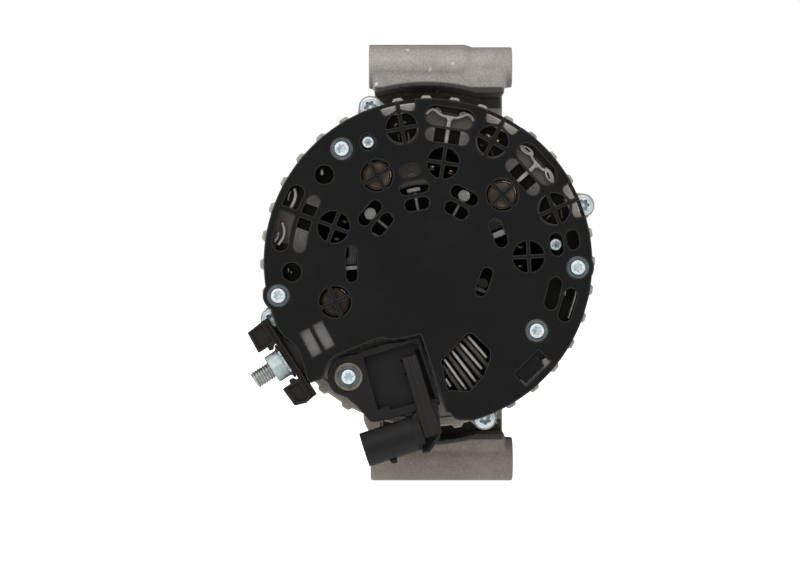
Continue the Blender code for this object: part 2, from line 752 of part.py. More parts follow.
def brush_spring(y, turns=4, wire_r=0.35, coil_r=1.6, start=22.7, end=31.5):
    """A helical spring behind a brush, along the brush's own direction."""
    direction = Vector((*polar(1, BRUSH_ANGLE), 0)).xzy
    across = Vector((0, 1, 0)).cross(direction)
    count = turns * 8
    loops = []
    for i in range(count + 1):
        angle = 2 * math.pi * turns * i / count
        radial = across * math.cos(angle) + Vector((0, 1, 0)) * math.sin(angle)
        centre = direction * (start + (end - start) * i / count) + radial * coil_r + Vector((0, y, 0))
        corners = [radial, direction, -radial, -direction]
        loops.append([centre + corner * wire_r for corner in corners])
    return loft(loops)


# ---------------------------------------------------------------- the whole alternator

def build_static(looks):
    cast, steel, zinc, plastic = looks["cast"], looks["steel"], looks["zinc"], looks["plastic"]
    part("front_housing", front_housing(), cast)
    part("rear_housing", rear_housing(), cast)
    part("stator_core", stator_core(), looks["laminations"])
    part("stator_winding", stator_winding(), looks["copper"])
    part("front_bearing_outer_ring", ring(19.8, 23.4, 33, 47), steel)
    part("rear_bearing_outer_ring", ring(14.9, 17.5, -41, -30), steel)
    part("bearing_retainer", bearing_retainer(), steel)
    for i, place in enumerate(RETAINER_SCREWS):
        part(f"retainer_screw_{i + 1}", at(fastener(3.9, 27.8, 30.7, 2.1, 42, 12), polar(*place)), zinc)
    for i, angle in enumerate(BOLT_ANGLES):
        bolt = at(fastener(4.5, -48.4, -43.3, 2.4, 43.5), polar(BOLT_CIRCLE_R, angle))
        part(f"through_bolt_{i + 1}", bolt, zinc)
    part("rear_cover", rear_cover(), plastic)
    for i, place in enumerate(COVER_SCREWS):
        part(f"cover_screw_{i + 1}", at(fastener(3.3, -66.4, -64.3, 2.2, -37), polar(*place)), zinc)
        part(f"cover_sleeve_{i + 1}", at(ring(2.6, 4.9, -64.0, -43.1, 16), polar(*place)), steel)
    part("regulator_body", regulator_body(), plastic)
    part("regulator_screw", at(fastener(3.3, -64.0, -61.7, 2.2, -37), polar(*REGULATOR_SCREW)), zinc)
    part("regulator_sleeve", at(ring(2.6, 4.9, -61.4, -43.1, 16), polar(*REGULATOR_SCREW)), steel)
    for name, y in zip(("rear", "front"), SLIP_RING_YS):
        part(f"brush_spring_{name}", brush_spring(y), steel)
    part("terminal_guard", terminal_guard(), plastic)
    part("terminal_stud", stud(), zinc)
    part("terminal_nut", stud_nut(), zinc)
    part("rectifier_heatsink", heatsink(), looks["aluminium"])
    part("connection_plate", connection_plate(), plastic)
    for i, angle in enumerate(POSITIVE_DIODE_ANGLES):
        part(f"positive_diode_{i + 1}", diode(polar(INNER_VENT_R, angle), -56.4, -50.2), looks["brass"])
    for i, angle in enumerate(NEGATIVE_DIODE_ANGLES):
        part(f"negative_diode_{i + 1}", diode(polar(INNER_VENT_R, angle), -45.8, -38.9), looks["brass"])
    for i, place in enumerate(RECTIFIER_SCREWS):
        part(f"rectifier_screw_{i + 1}", at(fastener(2.9, -51, -48.2, 1.8, -37, 12), polar(*place)), zinc)


def build_rotor(looks):
    steel, laminations = looks["steel"], looks["laminations"]
    axis = body_frame("rotor_axis")
    part("rotor_shaft", rotor_shaft(), steel, axis)
    part("rear_claw_pole", claw_pole(REAR_CLAW_Y, 18.6, 0), laminations, axis)
    core = ring(SHAFT_R + 0.2, 21.5, -3.7, 9)
    part("front_claw_pole", union(claw_pole(FRONT_CLAW_Y, -14.6, 30), core), laminations, axis)
    part("field_coil", ring(21.9, 35.4, -3.6, 7.6), looks["copper"], axis)
    part("rear_fan", cooling_fan(-15.4, -24.0), steel, axis)
    part("front_fan", cooling_fan(19.4, 27.2), steel, axis)
    part("slip_ring_carrier", slip_ring_carrier(), looks["plastic"], axis)
    for name, y in zip(("rear", "front"), SLIP_RING_YS):
        part(f"slip_ring_{name}", slip_ring(y), looks["copper"], axis)
    part("front_bearing_inner_ring", ring(8.8, 12.4, 33, 47), steel, axis)
    part("rear_bearing_inner_ring", ring(7.7, 10.3, -41, -30), steel, axis)
    part("pulley_hub", ring(8.8, 13.2, 47.5, 86), steel, axis)
    part("front_bearing_ball_cage", ball_cage(16.0, 3.3, 40, 7), steel, body_frame("front_cage_axis"))
    part("rear_bearing_ball_cage", ball_cage(12.6, 2.0, -35.5, 7), steel, body_frame("rear_cage_axis"))
    pulley_axis = body_frame("pulley_axis")
    part("pulley_ring", pulley_ring(), looks["dark_steel"], pulley_axis)
    part("clutch_roller_cage", ring(13.6, 16.9, 58, 82), steel, pulley_axis)
    part("pulley_cap", disc(16.9, 86.5, 88.6), looks["plastic"], pulley_axis)


def build_brushes(looks):
    for name, y in zip(("rear", "front"), SLIP_RING_YS):
        x, z = polar(SLIP_RING_R, BRUSH_ANGLE)
        part(f"brush_{name}", brush(y), looks["carbon"], body_frame(f"brush_{name}_slide", (x, y, z)))


def main():
    for obj in list(bpy.data.objects):
        bpy.data.objects.remove(obj)
    looks = {
        "cast": material("cast_aluminium", (0.46, 0.44, 0.41), 0.55, 0.85),
        "aluminium": material("heatsink_aluminium", (0.55, 0.53, 0.51), 0.45, 0.9),
        "steel": material("steel", (0.42, 0.42, 0.42), 0.35, 1.0),
        "dark_steel": material("pulley_steel", (0.12, 0.12, 0.13), 0.4, 0.9),
        "zinc": material("zinc_plated_steel", (0.72, 0.75, 0.76), 0.3, 1.0),
        "laminations": material("laminated_steel", (0.22, 0.21, 0.2), 0.5, 0.8),
        "copper": material("enamelled_copper", (0.45, 0.2, 0.08), 0.35, 0.8),
        "brass": material("diode_base", (0.42, 0.33, 0.24), 0.45, 0.8),
        "carbon": material("brush_carbon", (0.03, 0.03, 0.03), 0.6, 0.1),
        "plastic": material("black_plastic", (0.014, 0.014, 0.015), 0.55, 0.0),
    }
    build_static(looks)
    build_rotor(looks)
    build_brushes(looks)


main()
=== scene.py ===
"""The looks of the car alternator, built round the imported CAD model.

Shapes are made in millimetres in the CAD frame (+Z up, +Y along the shaft towards the pulley), and
each finished piece is scaled to metres, rides on its CAD body and stands for its CAD node.
"""

import math
import random

import bmesh
import bpy
from mathutils import Matrix, Vector


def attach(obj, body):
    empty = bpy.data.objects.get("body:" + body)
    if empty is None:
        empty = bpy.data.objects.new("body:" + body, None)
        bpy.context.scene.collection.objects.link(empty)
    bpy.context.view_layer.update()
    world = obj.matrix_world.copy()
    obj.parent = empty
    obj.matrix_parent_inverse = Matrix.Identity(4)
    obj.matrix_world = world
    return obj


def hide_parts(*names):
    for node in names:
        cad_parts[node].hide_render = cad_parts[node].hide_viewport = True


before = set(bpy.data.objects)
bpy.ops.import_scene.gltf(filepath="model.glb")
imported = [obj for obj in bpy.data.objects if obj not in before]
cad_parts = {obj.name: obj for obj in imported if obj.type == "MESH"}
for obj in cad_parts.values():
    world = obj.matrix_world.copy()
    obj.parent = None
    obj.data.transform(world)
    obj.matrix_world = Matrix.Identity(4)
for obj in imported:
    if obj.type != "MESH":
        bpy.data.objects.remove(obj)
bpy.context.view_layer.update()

MM = 0.001
FRAME = "frame_body"
ROTOR = "rotor_body"
PULLEY = "pulley_body"

# The same driving sizes as the CAD model
BODY_R = 73.0
BODY_WALL_R = 69.0
RIB_R = 74.58
BOLT_CIRCLE_R = 73.5
BOLT_ANGLES = (20.3, 110.2, 200.0, 290.2)
COVER_R = 72.0
COVER_FACE = -64.0
COVER_BACK = -61.5
COVER_END = -43.1
VENT_STEP = 39.0
INNER_VENT_R = 44.2
INNER_VENTS = tuple(3.3 + VENT_STEP * i for i in range(5)) + (203.0,)
OUTER_VENT_R = 59.8
OUTER_VENTS = tuple(23.0 + VENT_STEP * i for i in range(3))
COVER_SCREWS = ((62.5, 127.2), (67.1, 192.5), (65.6, -1.9), (56.2, -32.1))
REGULATOR_SCREW = (61.0, 235.2)
RECTIFIER_SCREWS = ((59.0, 116.5), (56.9, 8.0))
POSITIVE_DIODES = (42.3, 120.3, 203.0)
NEGATIVE_DIODES = (3.3, 81.3, 159.3)
REGULATOR_TILT = 18.0
BRUSH_ANGLE = 252.0
STUD_ANGLE = 213.0
STUD_OFFSET = 2.2
STUD_Y = -56.1
TUBE_Z = 89.8
ROTOR_R = 49.6
DIODE_R = 6.35

# Sizes of the finer shapes
BALL_RINGS = 16
CREASE_ANGLE = 38.0
VENT_R = 7.0
VENT_BAR = 1.8
NOTCH_HALF = 6.4
SLEEVE_HOLE_R = 5.15
SCREW_HEAD_R = 3.2
SCREW_SHANK_R = 2.2
SCREW_SOCKET_R = 1.75
SCREW_END = -37
COVER_SCREW_TOP = -66.4
REGULATOR_SCREW_TOP = -64.0
BOLT_TOP = -47.6
BOLT_SEAT = -43.6
FAN_BLADES = 9

# The stage, in metres
AMBIENT = 0.34
FLOOR_GLOW = 0.8
FLOOR_Z = -0.09985
FLOOR_R = 12.0
CAMERA_PLACE = (-0.01226, -1.3257, -0.00788)
CAMERA_LENS = 129.7
SENSOR_WIDTH = 36


# ---------------------------------------------------------------- plane shapes

def turned_in_plane(points, degrees):
    """The points turned about the shaft."""
    c = math.cos(math.radians(degrees))
    s = math.sin(math.radians(degrees))
    return [(x * c - z * s, x * s + z * c) for x, z in points]


def polar(radius, degrees):
    return (radius * math.cos(math.radians(degrees)), radius * math.sin(math.radians(degrees)))


def arc(centre, radius, start, end, steps):
    found = []
    for i in range(steps + 1):
        x, z = polar(radius, start + (end - start) * i / steps)
        found.append((centre[0] + x, centre[1] + z))
    return found


def circle(centre, radius, steps=40):
    return arc(centre, radius, 0, 360, steps)[:-1]


def slot(radius, degrees, length, width, steps=12):
    """A round-ended slot across the radius at a polar place."""
    half = (length - width) / 2
    points = arc((0, half), width / 2, 0, 180, steps) + arc((0, -half), width / 2, 180, 360, steps)
    return turned_in_plane([(x + radius, z) for x, z in points], degrees)


def block(radius, degrees, length, width, turn=0.0):
    """A rectangle at a polar place, its length across the radius."""
    corners = [(width / 2, -length / 2), (width / 2, length / 2)]
    corners += [(-width / 2, length / 2), (-width / 2, -length / 2)]
    centre = polar(radius, degrees)
    return [(x + centre[0], z + centre[1]) for x, z in turned_in_plane(corners, degrees + turn)]


def sector(inner, outer, start, end, steps=40):
    """Part of a flat ring between two angles."""
    return arc((0, 0), outer, start, end, steps) + arc((0, 0), inner, end, start, steps)


def rounded(points, radius, steps=5, closed=True):
    """The polygon with each corner turned into an arc, smaller where its sides are short."""
    count = len(points)
    found = []
    for i, point in enumerate(points):
        if not closed and i in (0, count - 1):
            found.append(point)
            continue
        here = Vector(point)
        before = Vector(points[i - 1]) - here
        after = Vector(points[(i + 1) % count]) - here
        angle = before.angle(after, math.pi)
        if angle > math.radians(165) or before.length < 1e-6 or after.length < 1e-6:
            found.append(point)
            continue
        reach = min(radius / math.tan(angle / 2), before.length * 0.46, after.length * 0.46)
        first = here + before.normalized() * reach
        last = here + after.normalized() * reach
        for k in range(steps + 1):
            t = k / steps
            found.append(tuple(first * (1 - t) ** 2 + here * 2 * t * (1 - t) + last * t ** 2))
    return found


def smooth_path(points, steps=6):
    """A Catmull-Rom curve through 2-D or 3-D points, ends included."""
    given = [Vector(p) for p in points]
    given = [given[0] * 2 - given[1], *given, given[-1] * 2 - given[-2]]
    found = []
    for i in range(1, len(given) - 2):
        a, b, c, d = given[i - 1:i + 3]
        for k in range(steps):
            t = k / steps
            found.append(0.5 * (2 * b + (c - a) * t + (2 * a - 5 * b + 4 * c - d) * t * t
                                + (3 * b - a - 3 * c + d) * t ** 3))
    return [tuple(p) for p in found] + [tuple(given[-2])]


def signed_area(loop):
    return sum(a[0] * b[1] - b[0] * a[1] for a, b in zip(loop, loop[1:] + loop[:1])) / 2


def shifted(loop, distance):
    """The loop moved to its left by this much: into the material, as prism() turns its loops."""
    count = len(loop)
    found = []
    for i in range(count):
        here = Vector(loop[i])
        first = (here - Vector(loop[i - 1])).normalized()
        second = (Vector(loop[(i + 1) % count]) - here).normalized()
        normal = Vector((-first.y - second.y, first.x + second.x)).normalized()
        reach = distance / max(0.45, normal.dot(Vector((-first.y, first.x))))
        found.append(tuple(here + normal * reach))
    return found


def ribbon(path, width):
    """The outline of a strip of even width along a 2-D path, with round ends."""
    points = [Vector(p) for p in path]
    left, right = [], []
    for i, here in enumerate(points):
        along = (points[min(i + 1, len(points) - 1)] - points[max(i - 1, 0)]).normalized()
        side = Vector((-along.y, along.x)) * width / 2
        left.append(tuple(here + side))
        right.append(tuple(here - side))
    return left + right[::-1]


# ---------------------------------------------------------------- solids

def in_scene(bm):
    mesh = bpy.data.meshes.new("shape")
    bm.to_mesh(mesh)
    bm.free()
    obj = bpy.data.objects.new("shape", mesh)
    bpy.context.scene.collection.objects.link(obj)
    return obj


def placed(bm):
    """A new solid with its normals outwards and smooth shading."""
    bmesh.ops.recalc_face_normals(bm, faces=bm.faces[:])
    for face in bm.faces:
        face.smooth = True
    return in_scene(bm)


def prism(outline, start, end, holes=(), front=0.0, back=0.0, hole_front=None, steps=3):
    """An outline in the XZ plane, with holes, extruded along Y. front, back and hole_front are
    the radii that round its edges."""
    bm = bmesh.new()
    hole_front = front if hole_front is None else hole_front
    rims = ([], [])
    for number, loop in enumerate((outline, *holes)):
        outer = number == 0
        loop = [tuple(p) for p in loop]
        if (signed_area(loop) > 0) != outer:
            loop = loop[::-1]
        first = front if outer else hole_front
        levels = []
        for k in range(steps if first else 0, -1, -1):
            a = math.pi / 2 * k / steps
            levels.append((first * (1 - math.cos(a)), start + first * (1 - math.sin(a))))
        for k in range(steps + 1 if back else 1):
            a = math.pi / 2 * k / steps
            levels.append((back * (1 - math.cos(a)), end - back * (1 - math.sin(a))))
        if not first:
            levels[0] = (0.0, start)
        if not back:
            levels[-1] = (0.0, end)
        rows = []
        for distance, y in levels:
            points = shifted(loop, distance) if distance else loop
            rows.append([bm.verts.new((x, y, z)) for x, z in points])
        count = len(loop)
        for lower, upper in zip(rows, rows[1:]):
            for i in range(count):
                j = (i + 1) % count
                bm.faces.new((lower[i], lower[j], upper[j], upper[i]))
        for rim, row in zip(rims, (rows[0], rows[-1])):
            for i in range(count):
                edge = bm.edges.get((row[i], row[(i + 1) % count]))
                edge.smooth = False
                rim.append(edge)
    for rim in rims:
        bmesh.ops.triangle_fill(bm, edges=rim, use_beauty=True)
    return placed(bm)


def slab(points, corner, start, end, holes=(), **edges):
    """A prism() whose outline has rounded corners."""
    return prism(rounded(points, corner), start, end, holes, **edges)


def loft(loops):
    """A closed skin through loops of points, each with as many points."""
    bm = bmesh.new()
    rows = [[bm.verts.new(point) for point in loop] for loop in loops]
    count = len(rows[0])
    for lower, upper in zip(rows, rows[1:]):
        for i in range(count):
            j = (i + 1) % count
            bm.faces.new((lower[i], lower[j], upper[j], upper[i]))
    bm.faces.new(rows[0])
    bm.faces.new(rows[-1])
    return placed(bm)


def turned(profile, steps=96, radius=0.0):
    """A closed profile of (radius, y) points turned about the Y axis, its corners rounded."""
    if radius:
        profile = rounded(profile, radius, 3)
    bm = bmesh.new()
    rows = []
    for distance, y in profile:
        if distance < 1e-4:
            rows.append([bm.verts.new((0, y, 0))] * steps)
            continue
        rows.append([bm.verts.new((x, y, z)) for x, z in circle((0, 0), distance, steps)])
    for k, row in enumerate(rows):
        following = rows[(k + 1) % len(rows)]
        for i in range(steps):
            j = (i + 1) % steps
            corners = [row[i], row[j], following[j], following[i]]
            corners = [v for n, v in enumerate(corners) if v not in corners[:n]]
            if len(corners) > 2:
                bm.faces.new(corners)
    return placed(bm)


def ring(inner, outer, start, end, steps=96, radius=0.3):
    return turned([(inner, start), (outer, start), (outer, end), (inner, end)], steps, radius)


def disc(outer, start, end, steps=64, radius=0.2):
    profile = rounded([(0, start), (outer, start), (outer, end), (0, end)], radius, 3, closed=False)
    return turned(profile, steps)


def tube(path, radius, sides):
    """A round wire along 3-D points."""
    points = [Vector(p) for p in path]
    loops = []
    side = None
    for i, here in enumerate(points):
        along = (points[min(i + 1, len(points) - 1)] - points[max(i - 1, 0)]).normalized()
        if side is None:
            side = along.orthogonal().normalized()
        side = (side - along * side.dot(along)).normalized()
        other = along.cross(side)
        turns = [2 * math.pi * k / sides for k in range(sides)]
        loops.append([here + (side * math.cos(t) + other * math.sin(t)) * radius for t in turns])
    return loft(loops)


def ball(centre, radius, scale):
    bm = bmesh.new()
    bmesh.ops.create_uvsphere(bm, u_segments=2 * BALL_RINGS, v_segments=BALL_RINGS, radius=radius)
    bmesh.ops.scale(bm, vec=scale, verts=bm.verts)
    bmesh.ops.translate(bm, vec=centre, verts=bm.verts)
    return placed(bm)


def moved(obj, matrix):
    obj.data.transform(matrix)
    if matrix.determinant() < 0:
        obj.data.flip_normals()
    return obj


def at(obj, centre):
    return moved(obj, Matrix.Translation((centre[0], 0.0, centre[1])))


def joined(objects):
    bm = bmesh.new()
    for obj in objects:
        bm.from_mesh(obj.data)
        bpy.data.objects.remove(obj)
    return in_scene(bm)


def applied(obj):
    """The object with its modifiers turned into mesh."""
    bpy.context.view_layer.update()
    graph = bpy.context.evaluated_depsgraph_get()
    mesh = bpy.data.meshes.new_from_object(obj.evaluated_get(graph))
    obj.modifiers.clear()
    obj.data = mesh
    return obj


def cut(obj, *cutters):
    other = joined(cutters)
    modifier = obj.modifiers.new("difference", "BOOLEAN")
    modifier.operation = "DIFFERENCE"
    modifier.solver = "EXACT"
    modifier.object = other
    applied(obj)
    bpy.data.objects.remove(other)
    return obj


def cast_form(obj, voxel, smoothing):
    """Overlapping solids melted into one rough casting with fillets where they meet."""
    remesh = obj.modifiers.new("remesh", "REMESH")
    remesh.mode = "VOXEL"
    remesh.voxel_size = voxel
    relax = obj.modifiers.new("relax", "SMOOTH")
    relax.factor = 0.5
    relax.iterations = smoothing
    return applied(obj)


def crease(obj):
    """Smooth shading, with a crease where faces meet at more than a set angle."""
    bm = bmesh.new()
    bm.from_mesh(obj.data)
    limit = math.radians(CREASE_ANGLE)
    for face in bm.faces:
        face.smooth = True
    for edge in bm.edges:
        if len(edge.link_faces) == 2 and edge.calc_face_angle(0.0) > limit:
            edge.smooth = False
    bm.to_mesh(obj.data)
    bm.free()


def piece(name, obj, look, body=FRAME):
    """Names a finished shape, scales it to metres and hangs it on its CAD body."""
    obj.name = name
    obj.data.name = name
    crease(obj)
    obj.data.transform(Matrix.Scale(MM, 4))
    obj.data.materials.clear()
    obj.data.materials.append(LOOKS[look])
    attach(obj, body)


def detail(node, obj, look, slot_name, body=FRAME):
    """A finished shape that stands for a CAD node."""
    piece(f"{node}_detail", obj, look, body)
    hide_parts(node)


# ---------------------------------------------------------------- materials

# Painted shade: a near-black laid over the arms' web in the hollow between the arms and the body, where
# shadow falls
ARM_SHADE = (0.022, 0.021, 0.016)
ARM_SHADE_SHARE = 0.93
# Where the painted shade ends and starts, in metres: by height, and by distance from the shaft
ARM_SHADE_BY_HEIGHT = (0.0810, 0.0801)
ARM_SHADE_BY_RADIUS = (0.0836, 0.0824)
# The painted shade stays short of this y, beyond this height and, on the lower arm, right of this x
ARM_SHADE_BOX = (0.0222, 0.0725, -0.0215)
# Heights below the shaft, in metres, between which the brown stain grows
STAIN_DEPTHS = (0.035, 0.085)
NICK = (0.66, 0.64, 0.6)
STAIN = (0.18, 0.16, 0.135)


class Look:
    """A procedural material, its nodes laid over coordinates in metres in the CAD frame."""

    def __init__(self, name, roughness=0.5, metallic=0.0):
        self.material = bpy.data.materials.new(name)
        self.material.use_nodes = True
        self.tree = self.material.node_tree
        self.shader = self.tree.nodes["Principled BSDF"]
        self.shader.inputs["Roughness"].default_value = roughness
        self.shader.inputs["Metallic"].default_value = metallic
        self.where = self.node("ShaderNodeTexCoord").outputs["Object"]
        self.height = None

    def node(self, kind, **settings):
        made = self.tree.nodes.new(kind)
        for key, value in settings.items():
            setattr(made, key, value)
        return made

    def link(self, a, b):
        self.tree.links.new(a, b)

    def noise(self, size_mm, detail=3.0, roughness=0.55, where=None, stretch=None):
        """A noise with features about this many millimetres across."""
        made = self.node("ShaderNodeTexNoise")
        made.inputs["Scale"].default_value = 1000.0 / size_mm
        made.inputs["Detail"].default_value = detail
        made.inputs["Roughness"].default_value = roughness
        source = where or self.where
        if stretch:
            mapping = self.node("ShaderNodeMapping")
            mapping.inputs["Scale"].default_value = stretch
            self.link(source, mapping.inputs["Vector"])
            source = mapping.outputs["Vector"]
        self.link(source, made.inputs["Vector"])
        return made.outputs["Fac"]

    def ramp(self, value, stops):
        made = self.node("ShaderNodeValToRGB")
        elements = made.color_ramp.elements
        while len(elements) < len(stops):
            elements.new(0.5)
        for element, (place, colour) in zip(elements, stops):
            element.position = place
            element.color = (*colour, 1.0) if isinstance(colour, tuple) else (colour, colour, colour, 1.0)
        self.link(value, made.inputs["Fac"])
        return made.outputs["Color"]

    def maths(self, operation, a, b=None, c=None):
        made = self.node("ShaderNodeMath", operation=operation)
        for socket, value in zip(made.inputs, (a, b, c)):
            if value is None:
                continue
            if isinstance(value, (int, float)):
                socket.default_value = value
            else:
                self.link(value, socket)
        return made.outputs[0]

    def mix(self, amount, a, b, mode="MIX"):
        made = self.node("ShaderNodeMix", data_type="RGBA", blend_type=mode)
        sockets = (made.inputs["Factor"], made.inputs[6], made.inputs[7])
        for socket, value in zip(sockets, (amount, a, b)):
            if isinstance(value, tuple):
                socket.default_value = (*value, 1.0)
            elif isinstance(value, (int, float)):
                socket.default_value = value
            else:
                self.link(value, socket)
        return made.outputs[2]

    def part_of(self, vector, name):
        made = self.node("ShaderNodeSeparateXYZ")
        self.link(vector, made.inputs[0])
        return made.outputs[name]

    def axis(self, name):
        return self.part_of(self.where, name)

    def facing(self, name):
        """How far the surface faces along or against an axis, from 0 to 1."""
        normal = self.node("ShaderNodeNewGeometry").outputs["Normal"]
        return self.maths("ABSOLUTE", self.part_of(normal, name))

    def fade(self, value, low, high):
        """From 0 at low to 1 at high, smooth between; low may be the larger."""
        made = self.node("ShaderNodeMapRange", interpolation_type="SMOOTHSTEP")
        made.inputs["From Min"].default_value = low
        made.inputs["From Max"].default_value = high
        self.link(value, made.inputs["Value"])
        return made.outputs["Result"]

    def around_shaft(self):
        """Coordinates that are the same all the way round the shaft, for turning marks."""
        x, y, z = (self.axis(name) for name in "XYZ")
        radius = self.maths("SQRT", self.maths("MULTIPLY_ADD", z, z, self.maths("MULTIPLY", x, x)))
        joint = self.node("ShaderNodeCombineXYZ")
        self.link(radius, joint.inputs["X"])
        self.link(y, joint.inputs["Y"])
        return joint.outputs[0]

    def colour(self, value):
        self.link(value, self.shader.inputs["Base Color"])

    def rough(self, value, low, high):
        made = self.node("ShaderNodeMapRange")
        made.inputs["To Min"].default_value = low
        made.inputs["To Max"].default_value = high
        self.link(value, made.inputs["Value"])
        self.link(made.outputs["Result"], self.shader.inputs["Roughness"])

    def bump(self, value, depth_mm, strength=1.0):
        made = self.node("ShaderNodeBump")
        made.inputs["Strength"].default_value = strength
        made.inputs["Distance"].default_value = depth_mm * MM
        self.link(value, made.inputs["Height"])
        if self.height is not None:
            self.link(self.height, made.inputs["Normal"])
        self.height = made.outputs["Normal"]
        self.link(self.height, self.shader.inputs["Normal"])


def stained(look, colour, stain, fine):
    """The colour with a brown stain that grows towards the underside."""
    down = look.fade(look.maths("MULTIPLY", look.axis("Z"), -1.0), *STAIN_DEPTHS)
    patches = look.ramp(look.noise(11, 4, 0.65), [(0.2, 0.55), (0.6, 1.0)])
    return look.mix(look.maths("MULTIPLY", down, patches), colour, look.mix(1.0, stain, fine, "MULTIPLY"))


def shade_arm_hollow(look, colour, fine):
    """The colour with painted shade laid over the hollow between the mounting arms and the body."""
    height = look.maths("ABSOLUTE", look.axis("Z"))
    from_shaft = look.part_of(look.around_shaft(), "X")
    hollow = look.maths("MAXIMUM", look.fade(height, *ARM_SHADE_BY_HEIGHT),
                        look.fade(from_shaft, *ARM_SHADE_BY_RADIUS))
    nearest, lowest, leftmost = ARM_SHADE_BOX
    near = look.maths("LESS_THAN", look.axis("Y"), nearest)
    beyond = look.maths("GREATER_THAN", height, lowest)
    inside = look.maths("MAXIMUM", look.maths("GREATER_THAN", look.axis("X"), leftmost),
                        look.maths("GREATER_THAN", look.axis("Z"), 0.0))
    level = look.maths("SUBTRACT", 1.0, look.facing("X"))
    where = look.maths("MULTIPLY", look.maths("MULTIPLY", near, beyond),
                       look.maths("MULTIPLY", inside, level))
    amount = look.maths("MULTIPLY", look.maths("MULTIPLY", hollow, where), ARM_SHADE_SHARE)
    return look.mix(amount, colour, look.mix(1.0, ARM_SHADE, fine, "MULTIPLY"))


def cast_look(name, light, dark, stain=None, shaded_arms=False):
    """Blasted cast aluminium: grainy, blotchy, with pale nicks and, if asked, a brown lower side and
    painted shade in the hollow between arms and body."""
    look = Look(name, 0.62, 0.45)
    blotch = look.ramp(look.noise(16, 5, 0.6), [(0.32, dark), (0.68, light)])
    grain = look.noise(0.9, 4, 0.7)
    fine = look.ramp(grain, [(0.3, 0.66), (0.72, 1.2)])
    colour = look.mix(1.0, blotch, fine, "MULTIPLY")
    if stain:
        colour = stained(look, colour, stain, fine)
    if shaded_arms:
        colour = shade_arm_hollow(look, colour, fine)
    nicks = look.ramp(look.noise(3.1, 2, 0.4), [(0.69, 0.0), (0.74, 1.0)])
    nick_share = look.maths("MULTIPLY", nicks, look.ramp(look.noise(24, 2), [(0.45, 0.0), (0.62, 0.8)]))
    look.colour(look.mix(nick_share, colour, NICK))
    look.rough(grain, 0.5, 0.78)
    look.bump(look.noise(5.5, 3, 0.5), 0.25, 0.5)
    look.bump(grain, 0.12, 0.8)
    return look.material


def plastic_look(name, base, haze, haze_share=0.25, grain_mm=0.45, edge=1.0):
    """Spark-eroded glass-filled plastic: fine grain, faint dusty haze, a few scuffs and a painted highlight
    on rounded edges.
    """
    look = Look(name, 0.55)
    look.shader.inputs["Specular IOR Level"].default_value = 0.07
    grain = look.noise(grain_mm, 2, 0.5)
    fine = look.ramp(grain, [(0.3, 0.86), (0.7, 1.14)])
    colour = look.mix(1.0, look.ramp(look.noise(30, 3),
                                     [(0.3, base), (0.7, tuple(c * 1.18 for c in base))]),
                      fine, "MULTIPLY")
    cloud = look.ramp(look.noise(21, 5, 0.62), [(0.52, 0.0), (0.78, haze_share)])
    colour = look.mix(cloud, colour, haze)
    scuff = look.ramp(look.noise(2.2, 3, 0.6, stretch=(1.0, 1.0, 0.16)), [(0.73, 0.0), (0.78, 0.5)])
    place = look.ramp(look.noise(40, 1), [(0.5, 0.0), (0.66, 0.7)])
    colour = look.mix(look.maths("MULTIPLY", scuff, place), colour, tuple(c * 1.6 for c in haze))
    # Painted highlight: faces turned partway from the shaft's direction, as on rounded edges, are lightened
    # towards the haze times edge, as if catching light
    edge_highlight = look.ramp(look.facing("Y"), [(0.2, 0.0), (0.55, 0.8), (0.9, 0.8), (0.985, 0.0)])
    colour = look.mix(edge_highlight, colour, tuple(c * edge for c in haze))
    look.colour(colour)
    look.rough(look.noise(9, 4), 0.46, 0.66)
    look.bump(grain, 0.035, 0.7)
    return look.material


def plated_look(name, base, tint, roughness=(0.22, 0.42), spot=0.35):
    """Zinc-plated or ground steel with faint blue or brown clouds."""
    look = Look(name, 0.3, 1.0)
    colour = look.ramp(look.noise(3.5, 4, 0.6), [(0.35, tint), (0.62, base)])
    specks = look.ramp(look.noise(0.6, 2, 0.5), [(0.66, 0.0), (0.74, spot)])
    look.colour(look.mix(specks, colour, tuple(c * 0.55 for c in base)))
    look.rough(look.noise(1.6, 4, 0.65), *roughness)
    look.bump(look.noise(0.5, 3), 0.02, 0.6)
    return look.material


def turned_look(name, light, dark, roughness=(0.22, 0.45), metallic=1.0):
    """Metal turned on a lathe about the shaft."""
    look = Look(name, 0.35, metallic)
    marks = look.noise(0.35, 2, 0.6, where=look.around_shaft())
    clouds = look.noise(9, 4, 0.6)
    look.colour(look.mix(look.ramp(marks, [(0.3, 0.0), (0.7, 1.0)]), dark,
                         look.ramp(clouds, [(0.3, tuple(c * 0.85 for c in light)), (0.7, light)])))
    look.rough(clouds, *roughness)
    look.bump(marks, 0.02, 0.7)
    return look.material


def lamination_look(name):
    """The edges of stacked electrical sheets, half a millimetre each, under thin varnish."""
    look = Look(name, 0.45, 0.75)
    phase = look.maths("FRACT", look.maths("MULTIPLY", look.axis("Y"), 2000.0))
    sheet = look.maths("ABSOLUTE", look.maths("SUBTRACT", phase, 0.5))
    wear = look.noise(7, 4, 0.6)
    colour = look.ramp(wear, [(0.3, (0.12, 0.115, 0.11)), (0.55, (0.24, 0.225, 0.21)),
                              (0.75, (0.3, 0.25, 0.2))])
    colour = look.mix(look.ramp(sheet, [(0.28, 0.0), (0.46, 0.75)]), colour, (0.035, 0.032, 0.03))
    look.colour(colour)
    look.rough(wear, 0.36, 0.6)
    look.bump(look.ramp(sheet, [(0.2, 1.0), (0.5, 0.0)]), 0.08, 0.8)
    return look.material


